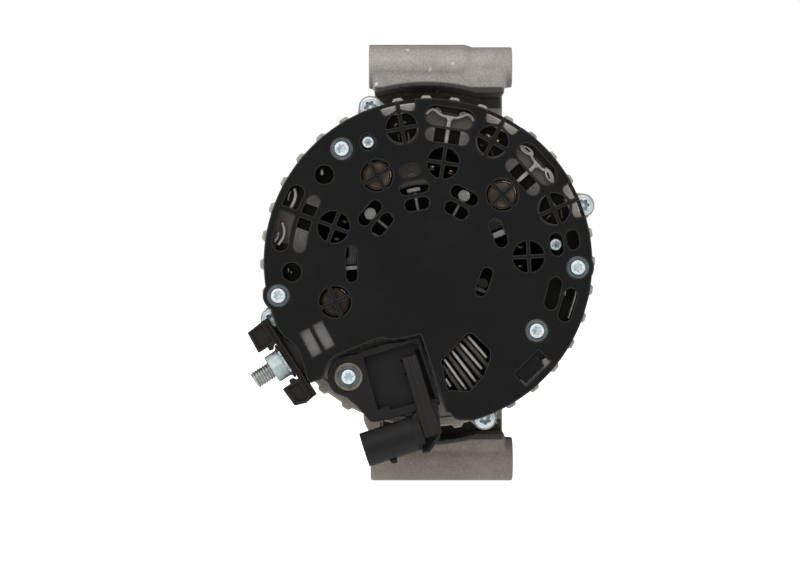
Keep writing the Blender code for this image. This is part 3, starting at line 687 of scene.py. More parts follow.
def wire_look(name):
    """Enamelled copper wire with varnish runs."""
    look = Look(name, 0.3, 0.7)
    look.shader.inputs["Coat Weight"].default_value = 0.5
    look.shader.inputs["Coat Roughness"].default_value = 0.18
    colour = look.ramp(look.noise(6, 4, 0.6), [(0.3, (0.3, 0.1, 0.03)), (0.6, (0.56, 0.23, 0.08)),
                                               (0.8, (0.62, 0.3, 0.12))])
    look.colour(look.mix(look.ramp(look.noise(1.1, 3), [(0.6, 0.0), (0.8, 0.5)]), colour,
                         (0.16, 0.05, 0.015)))
    look.rough(look.noise(2.4, 3), 0.24, 0.48)
    look.bump(look.noise(0.8, 3), 0.05, 0.6)
    return look.material


def label_look(name):
    """A pale printed-paper surface with no print on it, slightly soiled, its tone dimmed as painted shade
    of its windows.
    """
    look = Look(name, 0.6)
    colour = look.ramp(look.noise(3.5, 5, 0.65), [(0.36, (0.085, 0.079, 0.077)),
                                                  (0.6, (0.118, 0.111, 0.109))])
    look.colour(colour)
    look.rough(look.noise(1.5, 3), 0.5, 0.7)
    look.bump(look.noise(0.6, 2), 0.02, 0.4)
    return look.material


def floor_look():
    look = Look("studio_white", 0.85)
    look.colour(look.ramp(look.noise(600, 2), [(0.3, (0.86, 0.86, 0.86)), (0.7, (0.9, 0.9, 0.9))]))
    look.shader.inputs["Specular IOR Level"].default_value = 0.1
    look.shader.inputs["Emission Color"].default_value = (1, 1, 1, 1)
    look.shader.inputs["Emission Strength"].default_value = FLOOR_GLOW
    return look.material


LOOKS = {
    "cast": cast_look("cast_aluminium", (0.33, 0.315, 0.292), (0.265, 0.251, 0.23), STAIN),
    # The arms' copy carries the painted shade in the hollow under the arms
    "arm_cast": cast_look("arm_aluminium_painted_shade", (0.305, 0.29, 0.268), (0.245, 0.231, 0.21), STAIN, True),
    # Darker copies of the cast aluminium for the parts under the cover: their low tones are painted shade
    "rectifier_cast": cast_look("rectifier_aluminium", (0.12, 0.11, 0.1), (0.085, 0.077, 0.07)),
    "fin": cast_look("fin_aluminium", (0.21, 0.203, 0.196), (0.16, 0.154, 0.148)),
    "fin_root": cast_look("fin_root_aluminium", (0.09, 0.083, 0.075), (0.062, 0.057, 0.051)),
    "plastic": plastic_look("cover_plastic", (0.0036, 0.0038, 0.0037), (0.0125, 0.012, 0.011), 0.25, 0.45,
                            1.9),
    "regulator": plastic_look("regulator_plastic", (0.0088, 0.0082, 0.008), (0.022, 0.021, 0.0215), 0.22,
                              0.35, 0.7),
    "arm_plastic": plastic_look("arm_plastic", (0.0115, 0.0107, 0.0102), (0.024, 0.023, 0.022), 0.22, 0.35,
                                0.75),
    "guard": plastic_look("guard_plastic", (0.0115, 0.0098, 0.0085), (0.028, 0.025, 0.022), 0.3, 0.5, 0.6),
    "inner_plastic": plastic_look("inner_plastic", (0.0095, 0.0088, 0.0075), (0.02, 0.018, 0.015), 0.3,
                                  0.45, 0.7),
    "zinc": plated_look("bright_zinc", (0.55, 0.585, 0.595), (0.36, 0.42, 0.445), (0.28, 0.46)),
    # A darker copy of the zinc for the nut: painted shade
    "nut": plated_look("nut_zinc", (0.32, 0.355, 0.352), (0.2, 0.24, 0.245), (0.34, 0.52)),
    "socket": plated_look("socket_shade", (0.26, 0.3, 0.32), (0.14, 0.17, 0.185), (0.4, 0.6)),
    # A darker copy of the zinc for the screw socket floors: painted shade
    "recess": plated_look("screw_recess", (0.34, 0.38, 0.4), (0.2, 0.235, 0.255), (0.35, 0.55)),
    # Steel darkened as painted shade for the sleeves in their holes
    "collar": plated_look("collar_steel", (0.105, 0.115, 0.12), (0.07, 0.079, 0.085), (0.36, 0.52)),
    "brown_ring": plated_look("stained_insert", (0.13, 0.12, 0.1), (0.09, 0.08, 0.066), (0.4, 0.6)),
    # A darker copy of the zinc for the stud: painted shade
    "stud": plated_look("stud_zinc", (0.38, 0.40, 0.375), (0.28, 0.3, 0.275), (0.3, 0.48)),
    "clip": plated_look("tinned_clip", (0.25, 0.243, 0.232), (0.2, 0.192, 0.182), (0.38, 0.55)),
    # Brown aged nickel whose low tone is also painted shade of the vents; the copy below is darker still,
    # painted shade for one diode
    "diode": plated_look("aged_nickel", (0.085, 0.07, 0.058), (0.05, 0.039, 0.03), (0.3, 0.5)),
    "shaded_diode": plated_look("shaded_nickel", (0.045, 0.037, 0.031), (0.028, 0.023, 0.019), (0.35, 0.55)),
    # A near-black can: painted shade in the negative diodes' vents
    "shaded_can": plated_look("shaded_can", (0.012, 0.0105, 0.0085), (0.007, 0.006, 0.005), (0.5, 0.7), 0.1),
    # Brass darkened as painted shade behind the vents
    "brass": plated_look("brass", (0.16, 0.13, 0.09), (0.08, 0.062, 0.04), (0.25, 0.42)),
    # A far brighter brass: painted highlights behind the vents
    "highlight_brass": plated_look("highlight_brass", (0.55, 0.5, 0.4), (0.36, 0.32, 0.25), (0.2, 0.35)),
    "steel": turned_look("ground_steel", (0.5, 0.5, 0.5), (0.34, 0.34, 0.35)),
    "sheet": plated_look("fan_steel", (0.42, 0.42, 0.42), (0.3, 0.3, 0.31), (0.34, 0.52)),
    "pulley": turned_look("pulley_steel", (0.085, 0.085, 0.09), (0.035, 0.035, 0.038), (0.25, 0.45), 0.9),
    "laminations": lamination_look("stator_sheets"),
    "claws": turned_look("forged_claws", (0.2, 0.19, 0.18), (0.09, 0.085, 0.08), (0.36, 0.6), 0.8),
    "copper": wire_look("enamelled_copper"),
    "slip": turned_look("slip_ring_copper", (0.62, 0.32, 0.16), (0.4, 0.18, 0.08), (0.18, 0.35)),
    "carbon": plated_look("brush_carbon", (0.05, 0.048, 0.046), (0.03, 0.028, 0.027), (0.5, 0.7), 0.1),
    "label": label_look("pale_label"),
    # Lighter and darker copies of the cast aluminium for the plates under the cover: their tones are
    # painted light and shade
    "pad": cast_look("pad_aluminium", (0.27, 0.253, 0.24), (0.2, 0.185, 0.175)),
    "low_pad": cast_look("low_pad_aluminium", (0.19, 0.178, 0.17), (0.135, 0.125, 0.12)),
    "rim_plate": cast_look("rim_plate_aluminium", (0.46, 0.433, 0.41), (0.34, 0.318, 0.3)),
}


def finish_of(node, look):
    """A CAD node that keeps its shape and gets a finish."""
    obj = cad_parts[node]
    obj.data.materials.clear()
    obj.data.materials.append(LOOKS[look])


# ---------------------------------------------------------------- fasteners

def waved(radius, height, waves, steps):
    """A circle whose radius rises and falls round it."""
    angles = [360 * i / steps for i in range(steps)]
    return [polar(radius + height * math.cos(math.radians(waves * a)), a) for a in angles]


def torx_screw(place, head_r, head_y, seat_y, shank_r, flange, socket, twist, end_y=SCREW_END):
    """A six-lobe screw along +Y: rounded head, socket, stepped flange and a plain shank."""
    outline = turned_in_plane(waved(socket, 0.17 * socket, 6, 72), twist)
    parts = [
        prism(circle((0, 0), head_r, 64), head_y, seat_y - 0.05, holes=[outline], front=0.4,
              hole_front=0.2),
        disc(shank_r, seat_y - 0.2, end_y, 32, 0.3),
        disc(head_r - 0.5, head_y + 1.5, seat_y, 32, 0.05),
    ]
    if flange:
        edge, raised = flange
        profile = [(head_r - 0.3, seat_y - raised), (edge, seat_y - raised), (edge, seat_y),
                   (head_r - 0.3, seat_y)]
        parts.append(turned(rounded(profile, 0.2, 3), 72))
    return at(joined(parts), polar(*place))


def socket_floor(place, head_y, radius, depth):
    """The bottom of a screw's socket, with the drill point in its middle."""
    y = head_y + depth
    profile = [(0, y + 0.5), (radius * 0.4, y), (radius, y), (radius, y + 0.3), (0, y + 0.8)]
    return at(turned(profile, 32), polar(*place))


def screw_halo():
    """The flat ring round the regulator's screw."""
    profile = [(4.97, -61.7), (6.1, -61.7), (6.2, -61.0), (4.97, -61.0)]
    return at(turned(rounded(profile, 0.1, 2), 64), polar(*REGULATOR_SCREW))


def collar(place, face_y):
    """A compression sleeve: a flat end with a fine raised rim, and its long tube."""
    profile = [(2.6, face_y + 0.15), (4.55, face_y + 0.15), (4.7, face_y - 0.1), (4.95, face_y - 0.1),
               (4.95, COVER_END),
               (2.6, COVER_END)]
    return at(turned(rounded(profile, 0.08, 2), 72), polar(*place))


def make_fasteners():
    recesses, sockets = [], []
    for i, place in enumerate(COVER_SCREWS):
        screw = torx_screw(place, SCREW_HEAD_R, COVER_SCREW_TOP, -64.2, SCREW_SHANK_R, (), SCREW_SOCKET_R,
                           17 * i)
        recesses.append(socket_floor(place, COVER_SCREW_TOP, 2.0, 0.55))
        detail(f"cover_screw_{i + 1}", screw, "zinc", "zinc_steel")
        detail(f"cover_sleeve_{i + 1}", collar(place, -64.1), "collar", "steel")
    screw = torx_screw(REGULATOR_SCREW, SCREW_HEAD_R, REGULATOR_SCREW_TOP, -61.7, SCREW_SHANK_R, (),
                       SCREW_SOCKET_R, 8)
    recesses.append(socket_floor(REGULATOR_SCREW, REGULATOR_SCREW_TOP, 2.0, 0.55))
    detail("regulator_screw", screw, "zinc", "zinc_steel")
    detail("regulator_sleeve", collar(REGULATOR_SCREW, -61.6), "collar", "steel")
    piece("regulator_screw_halo", screw_halo(), "brown_ring")
    for i, angle in enumerate(BOLT_ANGLES):
        place = (BOLT_CIRCLE_R, angle)
        bolt = torx_screw(place, 3.5, BOLT_TOP, BOLT_SEAT, 2.4, (4.6, 0.75), 2.35, 11 * i, end_y=43.5)
        sockets.append(socket_floor(place, BOLT_TOP, 2.7, 1.4))
        detail(f"through_bolt_{i + 1}", bolt, "zinc", "zinc_steel")
    for i, (place, face) in enumerate(zip(RECTIFIER_SCREWS, (-61.0, -56.6))):
        screw = torx_screw(place, 2.75, face, face + 2.4, 1.8, (), 1.4, 25 * i)
        recesses.append(socket_floor(place, face, 1.6, 0.7))
        detail(f"rectifier_screw_{i + 1}", screw, "zinc", "zinc_steel")
    # The socket floors take darker copies of the zinc: painted shade in the sockets
    piece("screw_recess_floors", joined(recesses), "recess")
    piece("bolt_socket_floors", joined(sockets), "socket")


# ---------------------------------------------------------------- rear cover

RIDGE = ((-65.5, -29.9), (-63.0, -32.9), (-60.0, -34.8), (-57.8, -37.0), (-56.2, -40.2), (-55.0, -44.2),
         (-53.9, -48.2), (-52.9, -51.4), (-51.6, -52.9))


def rim_arc(start, end):
    return arc((0, 0), COVER_R, start, end, max(2, round((end - start) / 2)))


def rim_notch(angle):
    """The two windows in the rim beside an outer vent, and the thin bar between them."""
    side = [(68.2, 6.1), (67.0, 5.3), (67.0, 3.8), (68.2, 0.9), (COVER_R, 0.75)]
    return [polar(r, angle - a) for r, a in side] + [polar(r, angle + a) for r, a in side[::-1]]


def cover_outline(notched=True):
    """The plate's edge, anticlockwise, as in the CAD model but finer."""
    bay_side = polar(1, -72)
    corner = (-3.2, -31.6)
    foot = (corner[0] + bay_side[0] * 35.5, corner[1] + bay_side[1] * 35.5)
    edge = rim_arc(-74.0, -6.2) + arc(polar(*COVER_SCREWS[2]), 7.2, -31.0, 27.2, 8)
    if notched:
        edge += rim_arc(2.4, OUTER_VENTS[0] - NOTCH_HALF)
        for i, angle in enumerate(OUTER_VENTS):
            last = OUTER_VENTS[i + 1] - NOTCH_HALF if i < 2 else 188.4
            edge += rim_notch(angle) + rim_arc(angle + NOTCH_HALF, last)
    else:
        edge += rim_arc(2.4, 188.4)
    edge += arc(polar(*COVER_SCREWS[1]), 6.9, 145.7, 239.3, 16)
    edge += rim_arc(196.6, 204.0) + list(RIDGE[1:]) + [(-46.2, -50.9)]
    edge += arc(polar(*REGULATOR_SCREW), 10.6, 172, 118, 12)
    edge += [(-32.4, -37.6), (-20.4, -32.8), (-17.6, -34.0), (-12.0, -33.6)]
    edge += [corner, foot]
    edge += arc((14.4, -64.6), 4.6, 200, 268, 10)
    return rounded(edge, 0.8, 3)


def cross_vent(radius, degrees):
    """Four quadrants of a round hole, left by a cross that stands square to the shaft."""
    half = VENT_BAR / 2
    gap = math.degrees(math.asin(half / VENT_R))
    quadrant = rounded(arc((0, 0), VENT_R, gap, 90 - gap, 12) + [(half, half)], 0.55, 3)
    centre = polar(radius, degrees)
    found = []
    for quarter in range(4):
        points = turned_in_plane(quadrant, degrees + quarter * 90)
        found.append([(x + centre[0], z + centre[1]) for x, z in points])
    return found


SLOTS = tuple((33.4, 22.5 + VENT_STEP * i, 12.8, 5.5) for i in range(4)) + (
    (33.5, 181.2, 15.8, 4.9), (26.0, 61.5, 11.0, 5.3), (26.0, 100.5, 11.0, 5.3), (26.0, 140.0, 11.5, 5.4),
    (26.0, -19.2, 13.0, 4.8), (64.3, 42.1, 21.8, 8.6), (64.3, 81.4, 21.8, 8.6), (55.9, 42.1, 19.5, 6.0),
    (55.9, 81.4, 19.5, 6.0), (41.1, 101.3, 8.9, 5.3), (56.9, 8.0, 10.0, 5.6), (64.2, 9.0, 8.8, 5.3),
    (56.5, -13.9, 14.4, 5.7), (64.0, -16.9, 14.9, 5.7),
)
ROUND_HOLES = ((59.0, 116.5, 3.5), (59.5, 139.8, 4.1), (59.8, 184.0, 4.1))
HEX_WINDOW = ((17.2, -31.3), (19.4, -31.3), (27.1, -38.4), (27.1, -42.1), (24.4, -49.3), (18.0, -56.3),
              (8.8, -55.8),
              (5.7, -43.2))
CLIP_WINDOW = ((48.3, -38.4), (53.9, -43.4), (42.9, -54.3), (37.8, -48.7))


def half_slot(radius, flat, tip, width):
    """A curved slot that is flat across at one angle and round at the other."""
    half = width / 2
    turn = math.copysign(1, tip - flat)
    last = tip - turn * math.degrees(half / radius)
    along = [flat + (last - flat) * i / 8 for i in range(9)]
    cap = arc(polar(radius, last), half, last, last + turn * 180, 14)[1:-1]
    edge = [polar(radius + half, a) for a in along] + cap
    edge += [polar(radius - half, a) for a in reversed(along)]
    return rounded(edge, 0.9, 3)


def cover_openings():
    """Every hole through the cover's plate."""
    holes = [slot(*place) for place in SLOTS]
    for radius, width in ((65.2, 6.8), (56.8, 5.6)):
        holes += [half_slot(radius, 158.3, 149.2, width), half_slot(radius, 160.5, 175.5, width)]
    for radius, angles in ((INNER_VENT_R, INNER_VENTS), (OUTER_VENT_R, OUTER_VENTS)):
        for a in angles:
            holes += cross_vent(radius, a)
    holes += [circle(polar(r, a), size, 32) for r, a, size in ROUND_HOLES]
    holes += [rounded(block(62.3, 214.4, 12.0, 4.7, -6.5), 0.4),
              rounded(block(55.8, 214.9, 12.0, 4.7, -6.5), 0.4)]
    holes += [rounded(HEX_WINDOW, 1.6), rounded(CLIP_WINDOW, 0.6)]
    holes += [circle(polar(*place), SLEEVE_HOLE_R, 56) for place in COVER_SCREWS]
    return holes


def terminal_shoulder():
    """The cover's edge scooped away towards the terminal guard."""
    ridge = smooth_path([(-66.2, -29.2), *RIDGE[1:]], 4)
    outward = Vector(polar(1, STUD_ANGLE))
    along = Vector((-outward.y, outward.x))
    loops = []
    for i, (x, z) in enumerate(ridge):
        share = i / (len(ridge) - 1)
        foot = along * (-14.5 + 31.0 * share) + outward * 72.7
        loop = []
        for k in range(11):
            u = k / 10
            y = -63.8 + 3.1 * (1 - (1 - u) ** 2.2)
            loop.append((x + (foot.x - x) * u, y, z + (foot.y - z) * u))
        loop += [(foot.x, -49.2, foot.y), (x, -49.2, z)]
        loops.append(loop)
    return loft(loops)


def rear_cover():
    parts = [prism(cover_outline(), COVER_FACE, COVER_BACK, cover_openings(), front=0.7, back=0.0,
                   hole_front=0.5)]
    plain = cover_outline(False)
    skirt = prism(shifted(plain, 0.75), -62.3, COVER_END, [shifted(plain, 2.6)], back=0.3, hole_front=0.0)
    gaps = [prism(sector(66, 74, a - NOTCH_HALF, a + NOTCH_HALF, 8), -70, -40) for a in OUTER_VENTS]
    skirt = cut(skirt, *gaps)
    for a in BOLT_ANGLES:
        gap = turned_in_plane(circle((0, 0), 5.2, 31), a + 3.3)
        skirt = cut(skirt, at(prism(gap, -70, -40), polar(BOLT_CIRCLE_R, a)))
    parts.append(skirt)
    for angle in OUTER_VENTS:
        parts.append(prism(sector(70.4, 71.9, angle - 7.0, angle + 7.0, 12), -62.4, -60.0, front=0.25))
    for place in COVER_SCREWS:
        boss = prism(circle((0, 0), 6.1, 48), -61.8, COVER_END - 0.2, [circle((0, 0), SLEEVE_HOLE_R, 48)],
                     back=0.3)
        parts.append(at(boss, polar(*place)))
    parts.append(at(ring(6.15, 6.75, -64.12, -63.8, 72, 0.1), polar(*COVER_SCREWS[3])))
    parts += [ring(1.5, 2.25, -64.14, -63.8, 48, 0.12), disc(0.55, -64.1, -63.8, 24, 0.1)]
    parts.append(terminal_shoulder())
    tab = [(46.4, -39.9), (50.4, -44.6), (50.8, -45.4), (43.1, -52.7), (42.4, -52.5), (38.8, -48.1),
           (40.0, -45.6)]
    parts.append(slab(tab, 0.3, -63.1, -58.0, front=0.35))
    for radius, angle, size in ROUND_HOLES:
        collar = prism(circle((0, 0), size + 0.9, 40), -61.8, -55, [circle((0, 0), size, 40)], back=0.3)
        parts.append(at(collar, polar(radius, angle)))
    for angle in (22.5, 61.5, 100.5):
        inner, outer = (polar(47, angle), polar(55, angle))
        parts.append(prism(ribbon([inner, outer], 1.4), -61.8, -58.0))
    return joined(parts)


# ---------------------------------------------------------------- terminal

def along_stud(obj):
    """Turns a solid made along +Y to lie along the terminal stud."""
    outward = Vector((math.cos(math.radians(STUD_ANGLE)), 0, math.sin(math.radians(STUD_ANGLE))))
    along = Vector((-outward.z, 0, outward.x))
    offset = along * STUD_OFFSET
    basis = Matrix((along, outward, Vector((0, 1, 0)))).transposed().to_4x4()
    return moved(obj, Matrix.Translation((offset.x, STUD_Y, offset.z)) @ basis)


def guard_plane(points):
    """From the guard's own directions, along its plate and outwards, to (x, z)."""
    outward = polar(1, STUD_ANGLE)
    along = (-outward[1], outward[0])
    return [(t * along[0] + n * outward[0], t * along[1] + n * outward[1]) for t, n in points]


def terminal_guard():
    """A base plate under the nut with a chunky ear at each end: each ear is a rimmed tray, hooked
    over at its foot."""
    upper = [(-18, 74.4), (-7.1, 74.4), (-6.2, 77.2), (-5.0, 77.9), (-5.4, 79.4), (-7.2, 79.2),
             (-7.2, 83.9),
             (-17.2, 83.2)]
    lower = [(11.9, 74.4), (22, 74.4), (22.6, 78.2), (20.8, 83.2), (11.9, 83.7), (11.9, 79.6), (10.0, 79.2),
             (10.4, 77.6), (11.6, 76.9)]
    trays = ([(-16.8, 76.0), (-8.4, 76.0), (-8.4, 82.3), (-16.2, 81.8)],
             [(13.0, 76.2), (20.9, 76.2), (21.2, 78.2), (19.8, 81.2), (13.0, 81.6)])
    parts = []
    for ear, tray in zip((upper, lower), trays):
        outline = rounded(guard_plane(ear), 0.5)
        parts.append(prism(outline, -62.9, -60.0, [rounded(guard_plane(tray), 0.6)], front=0.6,
                           hole_front=0.7))
        parts.append(prism(shifted(outline, 0.05), -61.3, -49.2, back=0.5))
    strips = ((72.75, 73.45, -63.4), (73.3, 74.9, -62.2), (74.75, 75.35, -62.9))
    for inner, outer, face in strips:
        plate = guard_plane([(-18, inner), (22, inner), (22, outer), (-18, outer)])
        parts.append(slab(plate, 0.25, face, -48.8, front=0.2, back=0.2))
    return joined(parts)


def threaded_rod(major, minor, start, end, pitch):
    """A helical thread along +Y whose tip fades to a chamfer."""
    sides, rows = 32, 6
    profile = (minor, minor + 0.1, (major + minor) / 2, major - 0.04, major - 0.04, (major + minor) / 2)
    bm = bmesh.new()
    count = int((end - start) / pitch) * rows
    grid = []
    for i in range(count):
        row = []
        for j in range(sides + 1):
            y = start + pitch * (i / rows + j / sides)
            radius = min(profile[i % rows], minor - 0.1 + max(0.0, end - y) * 0.9)
            x, z = polar(max(radius, 0.8), 360 * j / sides)
            row.append(bm.verts.new((x, min(y, end), z)))
        grid.append(row)
    for lower, upper in zip(grid, grid[1:]):
        for j in range(sides):
            bm.faces.new((lower[j], lower[j + 1], upper[j + 1], upper[j]))
    bmesh.ops.remove_doubles(bm, verts=bm.verts[:], dist=0.002)
    bmesh.ops.holes_fill(bm, edges=[e for e in bm.edges if e.is_boundary], sides=0)
    bmesh.ops.triangulate(bm, faces=[f for f in bm.faces if len(f.verts) > 4])
    return placed(bm)


def stud():
    """The output stud: its thread, and a plain shank with a wider base."""
    thread = threaded_rod(3.95, 3.3, 66.0, 92.3, 1.25)
    shank = turned(rounded([(0, 56.3), (5.0, 56.3), (5.0, 60), (3.6, 60), (3.6, 68), (0, 68)], 0.2, 3,
                           False), 48)
    return along_stud(joined([thread, shank]))


def stud_nut():
    """A hexagon nut on a flange whose edge waves like a lock washer's."""
    hexagon = turned_in_plane(circle((0, 0), 13 / math.sqrt(3) - 0.1, 6), 30)
    bore = circle((0, 0), 3.75, 40)
    nut = prism(rounded(hexagon, 0.7, 4), 77.0, 83.2, [bore], front=0.5, back=0.6, hole_front=0.3)
    collar = turned(rounded([(3.8, 76.3), (7.2, 76.3), (6.9, 77.4), (3.8, 77.9)], 0.2, 3), 64)
    flange = prism(waved(8.05, 0.3, 14, 96), 75.75, 76.8, [bore], front=0.3, back=0.4, hole_front=0.1)
    return along_stud(joined([nut, collar, flange]))


# ---------------------------------------------------------------- regulator

def tilted(points):
    """From the plug socket's own directions to (x, z)."""
    return turned_in_plane(points, REGULATOR_TILT)


REGULATOR_EDGE = ((-28.3, -66.4), (-25.7, -69.4), (-23.9, -70.1), (-21.6, -69.7), (-7.1, -66.0),
                  (5.6, -62.4),
                  (-3.9, -32.5), (-11.8, -34.7), (-17.2, -35.2), (-21.0, -36.3), (-31.2, -40.2))
POCKET = ((-28.4, -41.6), (-16.0, -37.9), (-5.0, -34.2), (3.5, -59.8), (-5.6, -61.9), (-16.5, -64.6),
          (-16.9, -63.3), (-20.6, -64.3), (-22.0, -64.6))


def regulator_outline():
    lobe = arc(polar(*REGULATOR_SCREW), 9.3, 95, 232, 24)
    return rounded(lobe + [(-35.6, -59.4), (-31.2, -63.1)] + list(REGULATOR_EDGE), 0.8, 3)


def raised_arm():
    """The ridge that carries the conductors from the regulator to its plug: five faces with two
    grooves between, growing taller and wider towards the plug."""
    loops = []
    stations = ((0.0, 3.5, -60.2), (0.05, 3.55, -61.2), (0.3, 3.55, -62.6), (0.62, 3.65, -64.0),
                (0.85, 3.9, -64.8),
                (1.0, 4.0, -65.0))
    start, end = Vector((-8.2, -41.2)), Vector((2.1, -75.6))
    along = (end - start).normalized()
    side = Vector((-along.y, along.x))
    for share, half, crest in stations:
        middle = start + (end - start) * share
        points = ((-1.0, 5.2), (-0.97, 1.3), (-0.86, 0.75), (-0.5, 0.55), (-0.3, 0.7), (-0.16, 0.05),
                  (0.1, 0.0),
                  (0.2, 0.35), (0.32, 0.5), (0.62, 0.35), (0.84, 0.6), (0.97, 1.3), (1.0, 5.2))
        loop = []
        for across, drop in points:
            at_place = middle + side * across * half
            loop.append((at_place.x, min(crest + drop, -56.0) if drop > 5 else crest + drop, at_place.y))
        loops.append(loop)
    return loft(loops)


def connector_frame():
    """The plug socket's own frame: its mouth at the origin, its inside along +Y."""
    mouth = (-27.9, -82.5)
    direction = polar(1, REGULATOR_TILT)
    inward = Vector((direction[0], 0, direction[1]))
    basis = Matrix((Vector((0, 1, 0)), inward, Vector((0, 1, 0)).cross(inward))).transposed()
    return Matrix.Translation((mouth[0], -58.0, mouth[1])) @ basis.to_4x4()


def plug_socket():
    profile = [(6.1, 0), (7.55, 0), (7.7, 1.2), (7.7, 23.0), (7.1, 24.4), (6.6, 26.8), (0, 26.8), (0, 15.0),
               (6.1, 15.0)]
    barrel = turned(rounded(profile, 0.3, 3, closed=False)[:-1] + [(6.1, 15.0)], 96)
    band = ring(7.4, 7.69, 20.2, 21.6, 96, 0.1)
    return [moved(barrel, connector_frame()), moved(band, connector_frame())]


def regulator_body():
    outline = regulator_outline()
    hole = circle(polar(*REGULATOR_SCREW), SLEEVE_HOLE_R, 56)
    pits = [circle((-11.3, -43.2), 0.6, 16), circle((-9.7, -49.0), 0.6, 16)]
    ledge_pit = [circle((-11.5, -64.5), 0.62, 16)]
    deep = [(-5.6, -38.2), (-3.9, -38.0), (2.9, -58.6), (0.6, -59.4)]
    parts = [
        prism(outline, -61.2, -56.0, [hole, rounded(POCKET, 0.5)], front=0.6, hole_front=0.35),
        prism(shifted(outline, 0.05), -57.0, -53.5, [hole, rounded(deep, 0.4)] + pits, hole_front=0.1),
        prism(shifted(outline, 0.1), -53.6, -46.5, [hole], back=0.4),
        slab([(-22.4, -66.8), (-15.8, -65.2), (-5.2, -62.5), (-6.1, -66.0), (-22.0, -70.0)], 0.3, -59.4,
             -56.5,
              ledge_pit, front=0.3),
        slab([(-21.4, -63.9), (-17.2, -62.9), (-16.6, -64.8), (-20.9, -66.0)], 0.3, -60.0, -56.5,
             front=0.3),
        slab([(-29.9, -41.2), (-24.5, -39.2), (-25.4, -37.9), (-30.6, -39.9)], 0.3, -61.5, -60.8,
             front=0.2),
    ]
    holder = block(23.0, BRUSH_ANGLE, 15.0, 25.0)
    parts.append(slab(holder, 0.6, -60.6, -44.2, front=0.3, back=0.3))
    elbow = [(-2.9, -62.2), (4.3, -61.4), (5.6, -73.3), (5.2, -77.0), (0.9, -83.1), (-2.4, -83.7),
             (-4.6, -77.5),
             (-7.1, -68.0)]
    recess = [(-3.9, -75.1), (-1.2, -77.0), (3.8, -76.2), (-0.1, -82.2), (-1.7, -82.6)]
    parts.append(slab(elbow, 0.9, -62.6, -58.0, [rounded(recess, 0.5)], front=0.9, hole_front=0.3))
    parts.append(prism(shifted(rounded(elbow, 0.9), 0.05), -59.0, -51.5, back=0.6))
    neck = tilted([(-27, -73), (-17, -73), (-17, -58), (-27, -58)])
    parts.append(slab(neck, 0.6, -60.0, -52.5, front=0.4, back=0.4))
    parts += plug_socket()
    tab = tilted([(-42.5, -78.7), (-41.3, -79.5), (-39.7, -79.4), (-39.5, -77.2), (-42.9, -77.2)])
    parts.append(slab(tab, 0.3, -60.5, -55.5, front=0.5, back=0.5))
    return joined(parts)


def contact_pins():
    """Four flat blades in the plug socket."""
    parts = []
    for across in (-3.0, -1.0, 1.0, 3.0):
        blade = slab([(-0.35, 4.5), (0.35, 4.5), (0.35, 15.6), (-0.35, 15.6)], 0.2, -1.2, 1.2, front=0.2,
                      back=0.2)
        # prism() lays its outline in XZ; the socket's inside runs along its own Y
        moved(blade, Matrix(((1, 0, 0, across), (0, 0, 1, 0), (0, 1, 0, 0), (0, 0, 0, 1))))
        parts.append(moved(blade, connector_frame()))
    return joined(parts)


# ---------------------------------------------------------------- rectifier

CLIP_ANGLES = (42.1, 81.4)
PAD_PLATES = ((42.1, -12.4, 12.4), (81.4, -12.4, 12.4), (159.4, -11.6, 17.4))
WELL = ((0.9, -4.2), (5.7, -4.2), (5.7, 4.3), (0.9, 4.3))


def polar_frame(points, radius, degrees):
    """From (round the shaft, outwards) about a polar place to (x, z)."""
    return turned_in_plane([(radius + v, u) for u, v in points], degrees)


def rectifier_heatsink():
    """The positive heatsink: a plate with diode seats and wells, a raised ring round each seat and a tab
    out towards the terminal stud.
    """
    outline = rounded(sector(37.3, 53.4, -20, 222, 60), 1.0)
    seats = [circle(polar(INNER_VENT_R, a), DIODE_R + 0.25, 40) for a in POSITIVE_DIODES]
    wells = [circle(polar(INNER_VENT_R, a), 7.2, 40) for a in NEGATIVE_DIODES]
    parts = [prism(outline, -54, -50.2, seats + wells, front=0.4, back=0.4, hole_front=0.3)]
    for a in POSITIVE_DIODES:
        parts.append(at(ring(DIODE_R + 0.2, DIODE_R + 1.1, -55.2, -53.8, 64, 0.3), polar(INNER_VENT_R, a)))
    tab = along_stud(slab([(-8, 44), (4, 44), (4, 56), (-8, 56)], 0.5, -4, 4, front=0.3, back=0.3))
    return joined(parts + [tab])


def inner_fins():
    """Light cooling fins near the shaft, seen through the inner slots."""
    parts = []
    for angle in [61.5 + 13.0 * k for k in range(-5, 8)]:
        if -25 < angle < 225:
            parts.append(prism(ribbon([polar(23.2, angle), polar(33.8, angle)], 1.3), -57.5, -47, front=0.4,
                               back=0.2))
    for radius, angle in ((33.4, 61.5), (33.2, 139.8)):
        parts.append(at(disc(2.65, -60.6, -47, 48, 0.35), polar(radius, angle)))
        parts.append(at(ring(1.75, 1.95, -60.75, -60.5, 40, 0.06), polar(radius, angle)))
    for radius, angle, length, width in ((33.6, 22.0, 2.6, 5.6), (33.6, 184.0, 1.8, 5.2),
                                         (32.5, 101.2, 5.9, 1.8)):
        parts.append(slab(block(radius, angle, length, width), 0.4, -60.3, -48, front=0.35))
    for x, z in ((-8.2, 38.5), (-6.9, 39.0)):
        parts.append(ball((x, -54.6, z), 0.7, (1.2, 0.5, 0.7)))
    return joined(parts)


